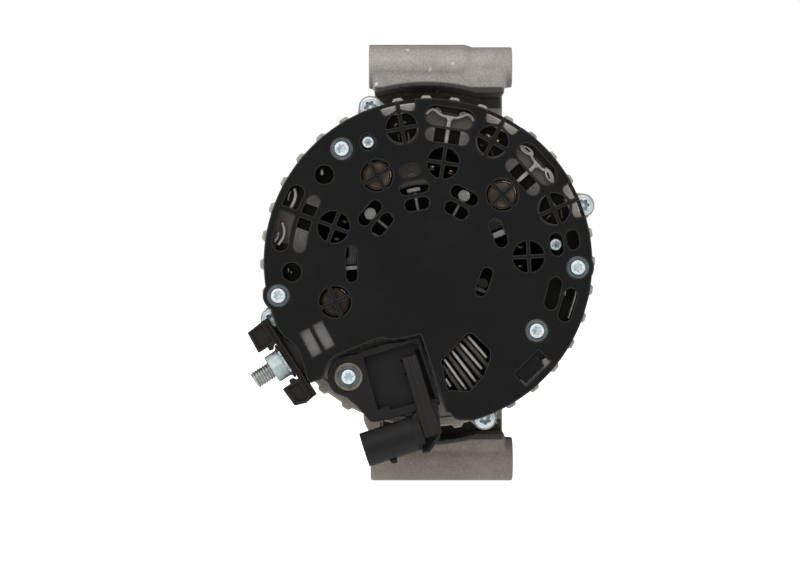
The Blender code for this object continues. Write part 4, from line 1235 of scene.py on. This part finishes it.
def inner_ledges():
    """The heatsink's darker ledges seen behind two inner slots and the short one above them."""
    parts = [slab(sector(34.4, 37.5, 88, 114, 10), 0.4, -54.6, -50, front=0.5)]
    parts.append(slab(sector(38.0, 45.0, 95.0, 108, 10), 0.4, -54.4, -50, front=0.5))
    for a, start, end in PAD_PLATES:
        parts.append(slab(sector(59.9, 70.2, a + start, a + end, 20), 0.8, -55.0, -52.0, front=0.3))
    parts.append(slab([(-35.0, 9.5), (-31.0, 9.5), (-31.2, -1.0), (-36.2, -1.0), (-36.2, 1.5), (-35.0, 2.8),
                       (-34.9, 5.6)], 0.5,
                       -55.5, -50, front=0.5))
    parts.append(slab(sector(30.2, 37.5, 25.6, 37.0, 6), 0.4, -52.5, -50, front=0.5))
    low = slab([(23.0, -0.5), (30.0, -0.5), (27.4, -12.4), (20.0, -10.6)], 0.4, -55.5, -50, front=0.4)
    parts.append(cut(low, at(disc(2.35, -60, -45, 40), (24.4, -9.2))))
    parts.append(prism(ribbon([(20.9, -11.3), (25.6, -13.1)], 1.7), -57.0, -50, front=0.3))
    return joined(parts)


def outer_pads():
    """The pale plates under the outer slots and behind the rim's windows, with dark wells in them."""
    parts = []
    for a, start, end in PAD_PLATES:
        plate = slab(sector(51.6, 60.0, a + start, a + end, 30), 0.8, -55.5, -50.5, front=0.3, back=0.3)
        for side in (-1, 1):
            well = rounded(polar_frame([(side * u, v) for u, v in WELL], 55.9, a), 0.6)
            plate = cut(plate, prism(well, -60, -45))
            parts.append(at(ring(2.0, 2.35, -55.75, -55.4, 40, 0.08),
                            polar_frame([(side * 8.6, 0)], 56.0, a)[0]))
        parts.append(plate)
    for a in OUTER_VENTS:
        parts.append(at(ring(6.85, 8.4, -55.4, -52.5, 64, 0.3), polar(OUTER_VENT_R + 1.1, a)))
    return joined(parts)


def rim_plates():
    """The pale plates behind the two windows in the rim beside each outer vent."""
    return joined([slab(sector(66.6, 70.4, a - 7.6, a + 7.6, 8), 0.3, -56.6, -52, front=0.3)
                   for a in OUTER_VENTS])


def leaf(start, end, width):
    """A pointed oval between two points, with a dark slit and a rib along it."""
    start, end = Vector(start), Vector(end)
    along = end - start
    across_it = Vector((-along.y, along.x)).normalized() * width / 2
    upper = [tuple(start + along * t + across_it * math.sin(math.pi * t) ** 0.7)
             for t in (0.02, 0.15, 0.35, 0.6, 0.85)]
    lower = [tuple(start + along * t - across_it * math.sin(math.pi * t) ** 0.7)
             for t in (0.98, 0.85, 0.6, 0.35, 0.15)]
    outline = smooth_path(upper + lower + upper[:1], 4)[:-1]
    slit = [tuple(start + along * t + across_it * o)
            for t, o in ((0.3, -0.28), (0.62, -0.5), (0.66, -0.2), (0.34, 0.05))]
    rib = ribbon([tuple(start + along * t + across_it * o)
                  for t, o in ((0.42, 0.45), (0.62, 0.2), (0.8, -0.1))], 0.3)
    return [prism(outline, -58.6, -57.2, [rounded(slit, 0.15)], front=0.35, hole_front=0.15),
            prism(rib, -58.9, -58.0, front=0.12)]


def lead_clips():
    """Sheet-metal clips that hold the stator leads: a stem, two curved arms and an eyelet on each."""
    parts = []
    reach = ((0, 8.8), (3.3, 9.4), (5.4, 10.4), (7.2, 11.4), (8.6, 11.2), (9.8, 10.2), (10.9, 8.7))
    for a in CLIP_ANGLES:
        stem = polar_frame([(0, -4.6), (0, 8.8)], 55.6, a)
        parts.append(prism(ribbon(stem, 1.95), -58.6, -55.0, front=0.5, back=0.1))
        knee = [(-3.6, 10.1), (3.6, 10.1), (3.2, 8.8), (1.5, 8.2), (1.0, 7.2), (-1.0, 7.2), (-1.5, 8.2),
                (-3.2, 8.8)]
        parts.append(slab(polar_frame(knee, 55.6, a), 0.4, -58.5, -55.0, front=0.5, back=0.1))
        for side in (-1, 1):
            count = len(reach) if a > 60 else 3
            arm = smooth_path([(side * u, v) for u, v in reach[:count]], 5)
            parts.append(prism(ribbon(polar_frame(arm, 55.6, a), 1.75), -58.4, -55.0, front=0.45, back=0.1))
            if a < 60:
                parts += leaf(*polar_frame([(side * 3.4, 10.9), (side * 11.6, 8.6)], 55.6, a), 3.7)
            else:
                parts += leaf(*polar_frame([(side * 3.6, 10.6), (side * 6.9, 12.6)], 55.6, a), 1.5)
    upper = smooth_path([(-58.9, 32.9), (-58.2, 30.4), (-58.6, 27.6), (-60.4, 23.9)], 5)
    lower = smooth_path([(-64.1, 17.8), (-63.2, 14.4), (-63.6, 11.0), (-66.0, 7.6)], 5)
    parts += [prism(ribbon(upper, 1.9), -58.6, -55.0, front=0.45),
              prism(ribbon(lower, 1.6), -58.6, -55.0, front=0.45)]
    parts += [prism(ribbon([(-61.5, 27.2), (-61.3, 29.2), (-60.3, 31.6)], 0.7), -58.4, -56, front=0.2)]
    parts += leaf((-65.3, 14.0), (-67.6, 8.6), 1.9)
    return joined(parts)


def rimmed_diode():
    """A press-fit diode with a raised rim round a shallow dished top."""
    rim_y, base_y, radius, crown = -58.6, -50.2, DIODE_R, 0.5
    profile = [(0, rim_y + crown), (radius - 1.0, rim_y + crown * 0.55), (radius - 0.55, rim_y),
               (radius - 0.15, rim_y), (radius, rim_y + 0.35), (radius, base_y), (0, base_y)]
    return turned(rounded(profile, 0.15, 3, closed=False), 72)


def domed_diode():
    """The other diodes: a can with a shallow dome and a lead, finished near-black as painted shade."""
    rim_y, base_y = -49.0, -38.9
    can = turned(rounded([(0, rim_y), (2.4, rim_y + 0.2), (4.6, rim_y + 0.9), (5.45, rim_y + 2.0),
                          (5.45, -44.9),
                          (6.7, -44.9), (6.7, -43.7), (5.45, -43.7), (5.45, base_y), (0, base_y)], 0.3, 3,
                         closed=False), 64)
    return joined([can, disc(0.9, rim_y - 2.2, rim_y + 0.6, 20, 0.2)])


def blob(centre, radius, scale, turn):
    """A ball squashed along its own axes, then turned about Y."""
    turned_there = Matrix.Translation(centre) @ Matrix.Rotation(math.radians(-turn), 4, "Y")
    return moved(ball((0, 0, 0), radius, scale), turned_there)


def diode_leads():
    """Brass parts and wires behind the vents, darkened as painted shade."""
    parts = []
    for x, z, size, scale, turn in ((-14.1, 60.5, 1.45, (1.25, 1.0, 0.75), 35),
                                    (-10.1, 61.6, 1.0, (1.0, 1.0, 0.9), 0),
                                    (55.9, 25.3, 1.5, (1.25, 0.8, 0.55), -48),
                                    (23.6, 51.6, 0.8, (1, 1, 1), 0), (-4.4, 57.2, 0.6, (1, 1, 1.2), 0),
                                    (60.0, 27.4, 0.7, (0.5, 0.8, 1.5), 20)):
        parts.append(blob((x, -55.8, z), size, scale, turn))
    for path, radius in ((((-13.1, -55.6, 56.2), (-12.5, -55.0, 53.2)), 0.45),
                         (((-8.8, -55.4, 57.4), (-8.3, -54.8, 53.6)), 0.5),
                         (((28.2, -54.6, 49.4), (28.7, -54.6, 47.2)), 0.6),
                         (((58.6, -54.6, 23.6), (59.2, -54.6, 19.6)), 0.35),
                         (((54.0, -54.6, 20.8), (52.4, -54.6, 19.4)), 0.4)):
        parts.append(tube(path, radius, 16))
    for a in NEGATIVE_DIODES:
        for u, v, height in ((4.5, -3.1, -53.6), (-4.1, -3.7, -53.8)):
            x, z = polar_frame([(u, v)], INNER_VENT_R, a)[0]
            parts.append(ball((x, height, z), 1.7, (1.0, 0.75, 0.7)))
    return joined(parts)


def painted_glints():
    """The few parts behind the vents in a far brighter brass: painted highlights where glints show."""
    parts = [cone_post((30.9, 53.6), -57.4)]
    for x, z, size, scale, turn in ((26.9, 55.7, 1.4, (1.25, 0.85, 0.6), -30),
                                    (2.0, 42.2, 0.85, (1.3, 0.7, 0.7), 0),
                                    (10.3, 40.3, 0.75, (1.3, 0.7, 0.7), 0),
                                    (-13.4, 61.1, 0.6, (1.0, 0.8, 0.9), 0)):
        parts.append(blob((x, -56.4, z), size, scale, turn))
    # Thin bright arcs on three diode rims: painted glints
    for a, start, end in ((42.3, 8, 90), (120.3, -8, 22), (203.0, 40, 66)):
        parts.append(prism(ribbon(arc(polar(INNER_VENT_R, a), 6.0, start, end, 16), 0.34), -58.85, -58.3,
                           front=0.12))
    return joined(parts)


def cone_post(place, tip_y):
    """A short cone-ended post along the shaft's direction."""
    profile = [(0, tip_y), (0.5, tip_y + 0.2), (1.8, tip_y + 3.2), (1.9, tip_y + 8), (0, tip_y + 8)]
    return at(turned(profile, 32), place)


def right_strips():
    """The narrow pale strips behind the right-hand slots and the one below the shaft."""
    parts = []
    for path, width, face in ((((65.1, -12.4), (64.5, -16.0), (61.7, -24.6)), 0.75, -59.5),
                              (((60.7, -11.9), (60.2, -14.4)), 0.6, -59.0)):
        parts.append(prism(ribbon(smooth_path(path, 4), width), face, -50.0, front=0.2))
    return joined(parts)


def dark_tray():
    """The plastic plate behind the openings on the negative side, and dark floors and walls behind the
    other openings, put there as painted shade."""
    outline = rounded(sector(36.5, 53.4, -20, 222, 60), 1.0)
    wells = [circle(polar(INNER_VENT_R, a), 6.8, 40) for a in NEGATIVE_DIODES]
    parts = [prism(outline, -49.8, -46.2, wells, front=0.3, back=0.3, hole_front=0.3)]
    parts.append(slab(sector(22.4, 36.0, -30, 200, 60), 0.6, -47.6, -45.5, front=0.3))
    # Dark walls between the clip arms, then dark floors: painted shade
    for a in CLIP_ANGLES:
        parts.append(slab(sector(66.8, 70.6, a - 6.0, a + 6.0, 10), 0.4, -57.0, -55.2, front=0.3))
    for a, start, end in PAD_PLATES:
        parts.append(slab(sector(53.2, 60.0, a + start, a + end, 16), 0.4, -51.6, -46.5))
    parts.append(slab(sector(61.0, 70.4, 147.5, 158.8, 10), 0.4, -55.9, -55.2, front=0.2))
    parts.append(slab([(-66.5, 8.4), (-59.6, 8.6), (-60.4, 3.4), (-67.2, 3.4)], 0.4, -55.9, -55.2,
                      front=0.2))
    floors = [(OUTER_VENT_R, a, 8.0) for a in OUTER_VENTS] + [(59.5, 139.8, 5.2), (59.8, 184.0, 5.2)]
    for radius, angle, size in floors:
        parts.append(at(disc(size, -52.4, -46.5, 40, 0.2), polar(radius, angle)))
    parts.append(slab(sector(52.0, 68.0, -24, 12.5, 24), 0.5, -51.0, -46.5, front=0.3))
    return joined(parts)


def label_plate():
    """The pale blank surface behind the two rectangular windows."""
    plate = rounded(block(59.2, 215.0, 15.5, 13.5, -6.5), 0.8)
    return prism(plate, -61.25, -60.3, front=0.2, back=0.1)


BRIGHT_FINS = (((17.4, -32.0), (26.1, -41.9)), ((13.8, -35.3), (24.0, -46.9)),
               ((10.3, -38.5), (21.3, -52.6)),
               ((6.9, -42.2), (17.0, -56.1)), ((7.5, -51.0), (10.0, -54.8)))
SHADED_FINS = (((15.6, -33.2), (26.4, -45.6)), ((12.0, -36.4), (23.6, -50.6)), ((8.6, -40.0), (20.0, -55.4)),
             ((6.2, -44.6), (15.0, -57.0)))


def side_fins(lines, width, face):
    """Fins behind the large window beside the regulator, each a slanting blade with a round top."""
    return joined([prism(ribbon(line, width), face, -46.0, front=width * 0.42, back=0.2) for line in lines])


def pale_frame():
    """The pale metal that shows at two sides of the clip's window."""
    edge = [(51.4, -41.7), (54.1, -43.2), (54.1, -44.0), (43.4, -54.8), (42.6, -54.8), (40.0, -51.9),
            (41.0, -51.0),
            (42.9, -52.9), (50.9, -45.3), (50.2, -44.2), (50.1, -43.0)]
    return slab(edge, 0.2, -60.6, -55.0, front=0.2)


def pin_ends():
    """The bright ends of the pins inside the two plain round holes."""
    parts = [ball((-46.6, -58.4, 39.8), 1.5, (0.75, 0.6, 1.25))]
    parts += [ball((-61.4, -57.2, -3.2), 1.0, (0.7, 0.6, 1.3)),
              ball((-60.0, -57.4, -4.3), 0.6, (0.8, 0.6, 0.9))]
    return joined(parts)


def fin_tray():
    """A dark floor behind the side fins: painted shade."""
    outline = rounded(((29.5, -28.0), (33.0, -40.0), (27.0, -55.0), (18.0, -60.5), (8.5, -60.0),
                       (3.6, -44.0),
                       (12.0, -31.0), (21.0, -26.5)), 2.0)
    return prism(outline, -50.0, -47.0, front=0.4, back=0.3)


def make_rectifier():
    detail("rectifier_heatsink", rectifier_heatsink(), "rectifier_cast", "sheet_aluminium")
    piece("rectifier_inner_fins", inner_fins(), "fin")
    piece("rectifier_inner_ledges", inner_ledges(), "rectifier_cast")
    # The pads take a darker copy of the aluminium and the rim plates a lighter one: painted shade and light
    piece("rectifier_outer_pads", outer_pads(), "low_pad")
    piece("rectifier_rim_plates", rim_plates(), "rim_plate")
    piece("rectifier_lead_clips", lead_clips(), "clip")
    piece("rectifier_leads", diode_leads(), "brass")
    piece("rectifier_painted_glints", painted_glints(), "highlight_brass")
    detail("connection_plate", dark_tray(), "inner_plastic", "black_plastic")
    piece("terminal_label_plate", label_plate(), "label")
    piece("side_fins", side_fins(BRIGHT_FINS, 1.55, -60.2), "clip")
    # The deeper fins take a darker copy of the aluminium: painted shade
    piece("side_fin_roots", side_fins(SHADED_FINS, 2.1, -57.4), "fin_root")
    piece("slot_strips", right_strips(), "clip")
    piece("clip_window_frame", pale_frame(), "pad")
    piece("rectifier_pin_ends", pin_ends(), "clip")
    piece("side_fin_tray", fin_tray(), "inner_plastic")
    for i, a in enumerate(POSITIVE_DIODES):
        can = at(rimmed_diode(), polar(INNER_VENT_R, a))
        # One diode takes a darker copy of the nickel: painted shade
        look = "shaded_diode" if i == 2 else "diode"
        detail(f"positive_diode_{i + 1}", can, look, "diode_base")
    for i, a in enumerate(NEGATIVE_DIODES):
        detail(f"negative_diode_{i + 1}", at(domed_diode(), polar(INNER_VENT_R, a)), "shaded_can",
               "diode_base")


# ---------------------------------------------------------------- housings

RIB_PHASE = 0.5
RIB_WIDTH = 4.2


def bumpy_rim(count, phase):
    """The outline of a rim with a rounded rib end at each place round it."""
    outline = []
    half = math.degrees(RIB_WIDTH / 2 / RIB_R)
    for i in range(count):
        middle = 360 * i / count + phase
        outline += [polar(BODY_R, middle - half - 0.5), polar(RIB_R, middle - half + 0.35)]
        outline += [polar(RIB_R, middle + half - 0.35), polar(BODY_R, middle + half + 0.5)]
        gap = 360 / count - 2 * half - 1.0
        outline += [polar(BODY_R, middle + half + 0.5 + gap * t) for t in (0.25, 0.5, 0.75)]
    return rounded(outline, 1.0, 3)


def pillars(count, phase, start, end):
    """The ribs between two rims, with the air gaps between them."""
    parts = []
    inner, outer, half = BODY_WALL_R, RIB_R, RIB_WIDTH / 2
    for i in range(count):
        middle = 360 * i / count + phase
        outline = [(inner, 0.4 - half), (outer, 0.2 - half), (outer, half - 0.2), (inner, half - 0.4)]
        parts.append(prism(rounded(turned_in_plane(outline, middle), 1.1, 3), start, end))
    return parts


def bolt_ears(start, end, bore):
    """A lug for each through bolt, with a flat seat and a web down to the wall."""
    parts = []
    radius = 5.4
    for a in BOLT_ANGLES:
        x, z = polar(BOLT_CIRCLE_R, a)
        # the flanks run back to the wall, as on a casting
        left, right = polar(radius * 0.99, a + 72), polar(radius * 0.99, a - 72)
        flank = [polar(70.5, a - 6.4), (x + right[0], z + right[1])]
        tip = arc((x, z), radius, a - 66, a + 66, 16)
        flank += tip + [(x + left[0], z + left[1]), polar(70.5, a + 6.4)]
        parts.append(slab(flank, 0.8, start, end, [circle((x, z), bore, 32)], front=0.7, back=0.5,
                           hole_front=0.2))
    return parts


def rear_housing():
    plate = turned(rounded([
        (11, -43.5), (24, -43.5), (26, -42), (70.6, -42), (70.6, -38.5), (21, -38.5), (21, -29.5),
        (17.8, -29.5), (17.8, -41.6), (11, -41.6),
    ], 0.4, 3), 144)
    windows = [slab(sector(27, 37, a - 14, a + 14, 10), 1.2, -60, -30) for a in range(0, 360, 40)]
    seats = [at(disc(5.8, -50, -30, 40), polar(INNER_VENT_R, a)) for a in NEGATIVE_DIODES]
    screws = [at(disc(2.6, -60, -30, 24), polar(*p)) for p in (*COVER_SCREWS, REGULATOR_SCREW)]
    screws += [at(disc(2.2, -60, -30, 24), polar(*p)) for p in RECTIFIER_SCREWS]
    plate = cut(plate, *windows, *seats, *screws)
    bore = [circle((0, 0), BODY_WALL_R, 144)]
    rim = bumpy_rim(36, RIB_PHASE)
    parts = [plate, prism(rim, -42.8, -37.2, bore, front=0.9, back=0.7, hole_front=0.4)]
    parts.append(prism(rim, -22.2, -17.0, bore, front=0.7, back=0.6, hole_front=0.3))
    parts += pillars(36, RIB_PHASE, -38.2, -21.4)
    parts += bolt_ears(-43.0, -17.3, 2.7)
    for a in range(0, 360, 40):
        parts.append(prism(ribbon([polar(26.0, a + 20), polar(69.6, a + 20)], 3.0), -39.0, -33.5, back=1.0))
    return joined(parts)


def across(outline, start, end):
    """An outline of (y, z) points extruded along X."""
    return moved(prism(outline, -end, -start), Matrix.Rotation(math.radians(90), 4, "Z"))


def along_x(obj, z):
    """A solid made along +Y, laid along X at this height."""
    return moved(obj, Matrix.Translation((0, 0, z)) @ Matrix.Rotation(math.radians(-90), 4, "Z"))


def mounting_arm(side):
    """One arm with its bolt tube, cast in one: the tube steps down at its right end."""
    profile = [(-9.3, 60), (46, 60), (46, 77), (41, 80), (16, 96), (8, 98), (0, 96), (-9.3, 88)]
    arm = across(rounded(profile, 1.0), -24.0, 35.5)
    arm = cut(arm, disc(81.0, -30, 20.9, 144))
    arm = cut(arm, prism([(19.0, 50), (60, 50), (60, 77.5), (19.0, 77.5)], -30, 20.9))
    arm = cut(arm, disc(BODY_WALL_R + 1, 0, 43, 144))
    pocket = rounded([(14, 110), (14, 90), (20, 88), (34, 80), (39, 75), (41, 110)], 2.0)
    arm = cut(arm, across(pocket, -19.0, 3.25), across(pocket, 8.25, 30.5))
    if side > 0:
        thick = turned([(0, -26.5), (10.15, -26.5), (10.15, 17.5), (9.3, 20.0), (0, 20.0)], 96)
        tubes = [along_x(thick, TUBE_Z + 0.6), along_x(disc(9.3, 17.0, 39.1, 96), TUBE_Z + 0.3)]
    else:
        tubes = [along_x(disc(10.0, -25.7, 39.4, 96), TUBE_Z)]
        shoulder = [(-29.2, 66), (-28.9, 71.6), (-28.1, 73.9), (-26.8, 76.4), (-25.4, 79), (-20, 79),
                    (-20, 66)]
        tubes.append(cut(slab(shoulder, 0.5, -9.3, 12.0), disc(69.5, -30, 20.9, 96)))
    form = cast_form(joined([arm, *tubes]), 0.66, 4)
    form = cut(form, along_x(disc(5.2, -60, 60, 64), TUBE_Z))
    return form if side > 0 else moved(form, Matrix.Scale(-1, 4, (0, 0, 1)))


def front_bowl():
    plate = turned(rounded([
        (70.6, 42), (67, 47.5), (36, 50), (33, 53), (19, 53), (19, 49.3), (23.7, 49.3), (23.7, 32.5),
        (33, 32.5),
        (34, 46), (64, 43.5), (68, 39.5), (70.6, 39.5),
    ], 1.0, 3), 144)
    windows = [slab(sector(40.5, 59.5, a - 10.5, a + 10.5, 8), 2.0, 40, 60) for a in range(0, 360, 36)]
    screws = [at(disc(2.4, 20, 43, 24), polar(28.6, a)) for a in (30, 150, 270)]
    plate = cut(plate, *windows, *screws)
    bore = [circle((0, 0), BODY_WALL_R, 144)]
    rim = bumpy_rim(18, 10.0)
    parts = [plate, prism(rim, 20.3, 25.6, bore, front=0.6, back=0.7, hole_front=0.3)]
    parts.append(prism(rim, 37.6, 42.5, bore, front=0.6, back=1.2, hole_front=0.3))
    parts += pillars(18, 10.0, 25.0, 38.3)
    parts += bolt_ears(20.6, 44, 2.6)
    for a in range(0, 360, 36):
        parts.append(prism(ribbon([polar(34, a + 18), polar(66, a + 18)], 3.4), 46.5, 50.6, front=0.8,
                           back=0.9))
    return joined(parts)


def make_housings():
    detail("rear_housing", rear_housing(), "cast", "cast_aluminium")
    front = joined([front_bowl(), mounting_arm(1), mounting_arm(-1)])
    detail("front_housing", front, "arm_cast", "cast_aluminium")


# ---------------------------------------------------------------- stator and rotor

def stator_core():
    """The stack of sheets, with a slot between each two teeth."""
    bore = []
    for i in range(36):
        middle = 10.0 * (i + 0.5)
        bore += [polar(50.3, middle - 7.4), polar(50.3, middle - 5.0), polar(50.3, middle - 2.6)]
        bore += [polar(64.0, middle - 2.3), polar(64.0, middle + 2.3)]
    return prism(circle((0, 0), 71.5, 180), -16.7, 20.0, [bore], front=0.25, back=0.25, hole_front=0.0,
                 steps=2)


def winding_head(root, tip, lean):
    """One end of the winding: four layers of hairpins, each crossing to a slot three away."""
    parts = []
    rng = random.Random(7 if tip < 0 else 11)
    for layer, radius in enumerate((54.6, 57.5, 60.4, 63.3)):
        for i in range(36):
            start = 10.0 * (i + 0.5)
            way = lean if layer % 2 else -lean
            reach = tip - (tip - root) * (0.03 + 0.05 * rng.random()) - math.copysign(1.0, tip - root)
            points = []
            for share, height in ((0, 0), (0.04, 0.3), (0.25, 0.72), (0.5, 0.96), (0.75, 0.72), (0.96, 0.3),
                                  (1, 0)):
                x, z = polar(radius + 0.5 * math.sin(math.pi * share), start + way * 30 * share)
                points.append((x, root + (reach - root) * height, z))
            parts.append(tube(smooth_path(points, 2), 1.0, 7))
    return parts


def stator_winding():
    parts = winding_head(-15.0, -31.4, 1) + winding_head(18.5, 34.4, -1)
    parts += [ring(55.0, 64.8, -27.5, -18.4, 72), ring(55.0, 64.8, 21.7, 30.5, 72)]
    for i in range(36):
        parts.append(slab(block(58.5, 10.0 * (i + 0.5), 3.2, 7.0), 0.5, -24, 27))
    return joined(parts)


def cooling_fan(face_y, tip_y):
    side = 1 if tip_y > face_y else -1
    parts = [ring(8.9, 40, *sorted((face_y, face_y + side * 1.2)), 96, 0.25)]
    for i in range(FAN_BLADES):
        start = 360 * i / FAN_BLADES
        outer = [polar(24 + 21 * t / 12, start + 26 * t / 12) for t in range(13)]
        inner = [polar(24.3 + 21 * t / 12, start + 26 * t / 12 + 2.4 - t / 12) for t in range(12, -1, -1)]
        parts.append(slab(outer + inner, 0.3, *sorted((face_y + side * 0.5, tip_y)), front=0.3, back=0.3))
    return joined(parts)


def claw_pole(disc_y, tip_y, first_angle, core=None):
    """A disc with six claws that narrow towards their tips, and the core on one of the two."""
    near, far = disc_y if tip_y > disc_y[1] else disc_y[::-1]
    parts = [ring(8.7, 37.5, *disc_y, 96, 0.6)]
    for i in range(6):
        middle = first_angle + 60 * i
        loops = []
        for y, inner, outer, spread in (
            (near, 35.8, ROTOR_R - 3.4, 11.0), (near + (far - near) * 0.1, 35.8, ROTOR_R - 1.6, 11.4),
            (near + (far - near) * 0.3, 35.8, ROTOR_R, 11.5), (far, 36.2, ROTOR_R, 11.0),
            (far + (tip_y - far) * 0.5, 40.6, ROTOR_R, 7.9),
            (tip_y - (tip_y - far) * 0.02, 44.9, ROTOR_R - 0.1, 4.9),
            (tip_y, 45.4, ROTOR_R - 0.6, 4.5),
        ):
            section = arc((0, 0), outer - 0.8, middle - spread, middle - spread + 0.4, 1)
            section += arc((0, 0), outer, middle - spread + 0.9, middle + spread - 0.9, 10)
            section += arc((0, 0), outer - 0.8, middle + spread - 0.4, middle + spread, 1)
            section += arc((0, 0), inner, middle + spread, middle - spread, 6)
            loops.append([(x, y, z) for x, z in section])
        parts.append(loft(loops))
    if core:
        parts.append(ring(8.7, 21.5, *core, 72, 0.3))
    return joined(parts)


def pulley_ring():
    profile = [(17.2, 54), (29.3, 54), (29.6, 54.8), (29.6, 56.4)]
    first, pitch = 58.4, 3.56
    for i in range(6):
        y = first + pitch * i
        profile += [(28.45, y - 0.35), (28.5, y + 0.3), (25.7, y + 1.6), (25.7, y + 1.96)]
    last = first + pitch * 6
    profile += [(28.5, last - 0.3), (28.45, last + 0.35), (29.6, last + 1.6), (29.4, last + 4.0),
                (23.5, last + 4.6),
                (22.5, 89), (17.2, 89)]
    return turned(rounded(profile, 0.3, 3), 144)


def pulley_cap():
    profile = [(0, 88.2), (5.5, 88.2), (6.2, 88.6), (11.0, 88.6), (11.6, 88.1), (13.0, 88.1), (13.6, 88.6),
               (16.3, 88.6), (16.9, 88.0), (16.9, 86.5), (0, 86.5)]
    cap = turned(rounded(profile, 0.25, 3, closed=False), 96)
    notches = [prism(ribbon([polar(7.4, a), polar(10.2, a)], 1.0), 88.4, 88.6, back=0.08)
               for a in range(0, 360, 45)]
    return joined([cap, *notches])


def make_machine():
    detail("stator_core", stator_core(), "laminations", "laminations")
    detail("stator_winding", stator_winding(), "copper", "copper")
    detail("rear_fan", cooling_fan(-15.4, -24.0), "sheet", "steel", ROTOR)
    detail("front_fan", cooling_fan(19.4, 27.2), "sheet", "steel", ROTOR)
    detail("rear_claw_pole", claw_pole((-15.0, -4.0), 18.6, 0), "claws", "laminations", ROTOR)
    detail("front_claw_pole", claw_pole((8.0, 19.0), -14.6, 30, (-3.7, 9)), "claws", "laminations", ROTOR)
    detail("pulley_ring", pulley_ring(), "pulley", "pulley_steel", PULLEY)
    detail("pulley_cap", pulley_cap(), "inner_plastic", "black_plastic", PULLEY)
    kept = {
        "steel": ("front_bearing_outer_ring", "rear_bearing_outer_ring", "bearing_retainer", "rotor_shaft",
                  "front_bearing_inner_ring", "rear_bearing_inner_ring", "pulley_hub", "clutch_roller_cage",
                  "front_bearing_ball_cage", "rear_bearing_ball_cage", "brush_spring_rear",
                  "brush_spring_front"),
        "zinc": ("retainer_screw_1", "retainer_screw_2", "retainer_screw_3"),
        "copper": ("field_coil",), "slip": ("slip_ring_rear", "slip_ring_front"),
        "inner_plastic": ("slip_ring_carrier",), "carbon": ("brush_rear", "brush_front"),
    }
    for look, nodes in kept.items():
        for node in nodes:
            finish_of(node, look)


# ---------------------------------------------------------------- stage

def studio_floor():
    """A pale floor, wide enough to run out of every view."""
    bm = bmesh.new()
    bmesh.ops.create_circle(bm, cap_ends=True, segments=96, radius=FLOOR_R)
    bmesh.ops.translate(bm, verts=bm.verts, vec=(0, 0, FLOOR_Z))
    floor = placed(bm)
    floor.name = "studio_floor"
    floor.data.materials.append(floor_look())


def area_light(name, place, size, power):
    light = bpy.data.lights.new(name, "AREA")
    light.shape = "RECTANGLE"
    light.size, light.size_y = size
    light.energy = power
    obj = bpy.data.objects.new(name, light)
    obj.location = place
    obj.rotation_euler = (-Vector(place)).to_track_quat("-Z", "Y").to_euler()
    bpy.context.scene.collection.objects.link(obj)


def white_surround():
    """A world that looks white and lights the part softly."""
    world = bpy.data.worlds.new("studio")
    world.use_nodes = True
    nodes, links = world.node_tree.nodes, world.node_tree.links
    background = nodes["Background"]
    background.inputs["Color"].default_value = (1, 1, 1, 1)
    strength = nodes.new("ShaderNodeMapRange")
    strength.inputs["To Min"].default_value = AMBIENT
    strength.inputs["To Max"].default_value = 1.0
    links.new(nodes.new("ShaderNodeLightPath").outputs["Is Camera Ray"], strength.inputs["Value"])
    links.new(strength.outputs["Result"], background.inputs["Strength"])
    bpy.context.scene.world = world


def sun_light():
    sun = bpy.data.lights.new("window", "SUN")
    sun.energy = 2.5
    sun.angle = math.radians(75)
    lamp = bpy.data.objects.new("window", sun)
    lamp.rotation_euler = Vector((0.2, 0.95, -0.95)).to_track_quat("-Z", "Y").to_euler()
    bpy.context.scene.collection.objects.link(lamp)


def rear_camera():
    camera = bpy.data.cameras.new("photo_view")
    camera.sensor_width = SENSOR_WIDTH
    camera.lens = CAMERA_LENS
    camera.clip_end = 20
    view = bpy.data.objects.new("photo_view", camera)
    view.location = CAMERA_PLACE
    view.rotation_euler = (math.radians(90), 0, 0)
    bpy.context.scene.collection.objects.link(view)
    bpy.context.scene.camera = view


def set_stage():
    studio_floor()
    white_surround()
    sun_light()
    area_light("left_box", (-1.0, -0.9, 0.5), (0.5, 0.8), 3.0)
    area_light("right_box", (1.1, -0.7, 0.3), (0.4, 0.8), 2.0)
    rear_camera()
    bpy.context.scene.view_settings.view_transform = "Standard"


def main():
    detail("rear_cover", rear_cover(), "plastic", "black_plastic")
    detail("terminal_guard", terminal_guard(), "guard", "black_plastic")
    detail("terminal_stud", stud(), "stud", "zinc_steel")
    detail("terminal_nut", stud_nut(), "nut", "zinc_steel")
    detail("regulator_body", regulator_body(), "regulator", "black_plastic")
    piece("regulator_arm", raised_arm(), "arm_plastic")
    piece("plug_contacts", contact_pins(), "clip")
    make_fasteners()
    make_rectifier()
    make_housings()
    make_machine()
    set_stage()


main()
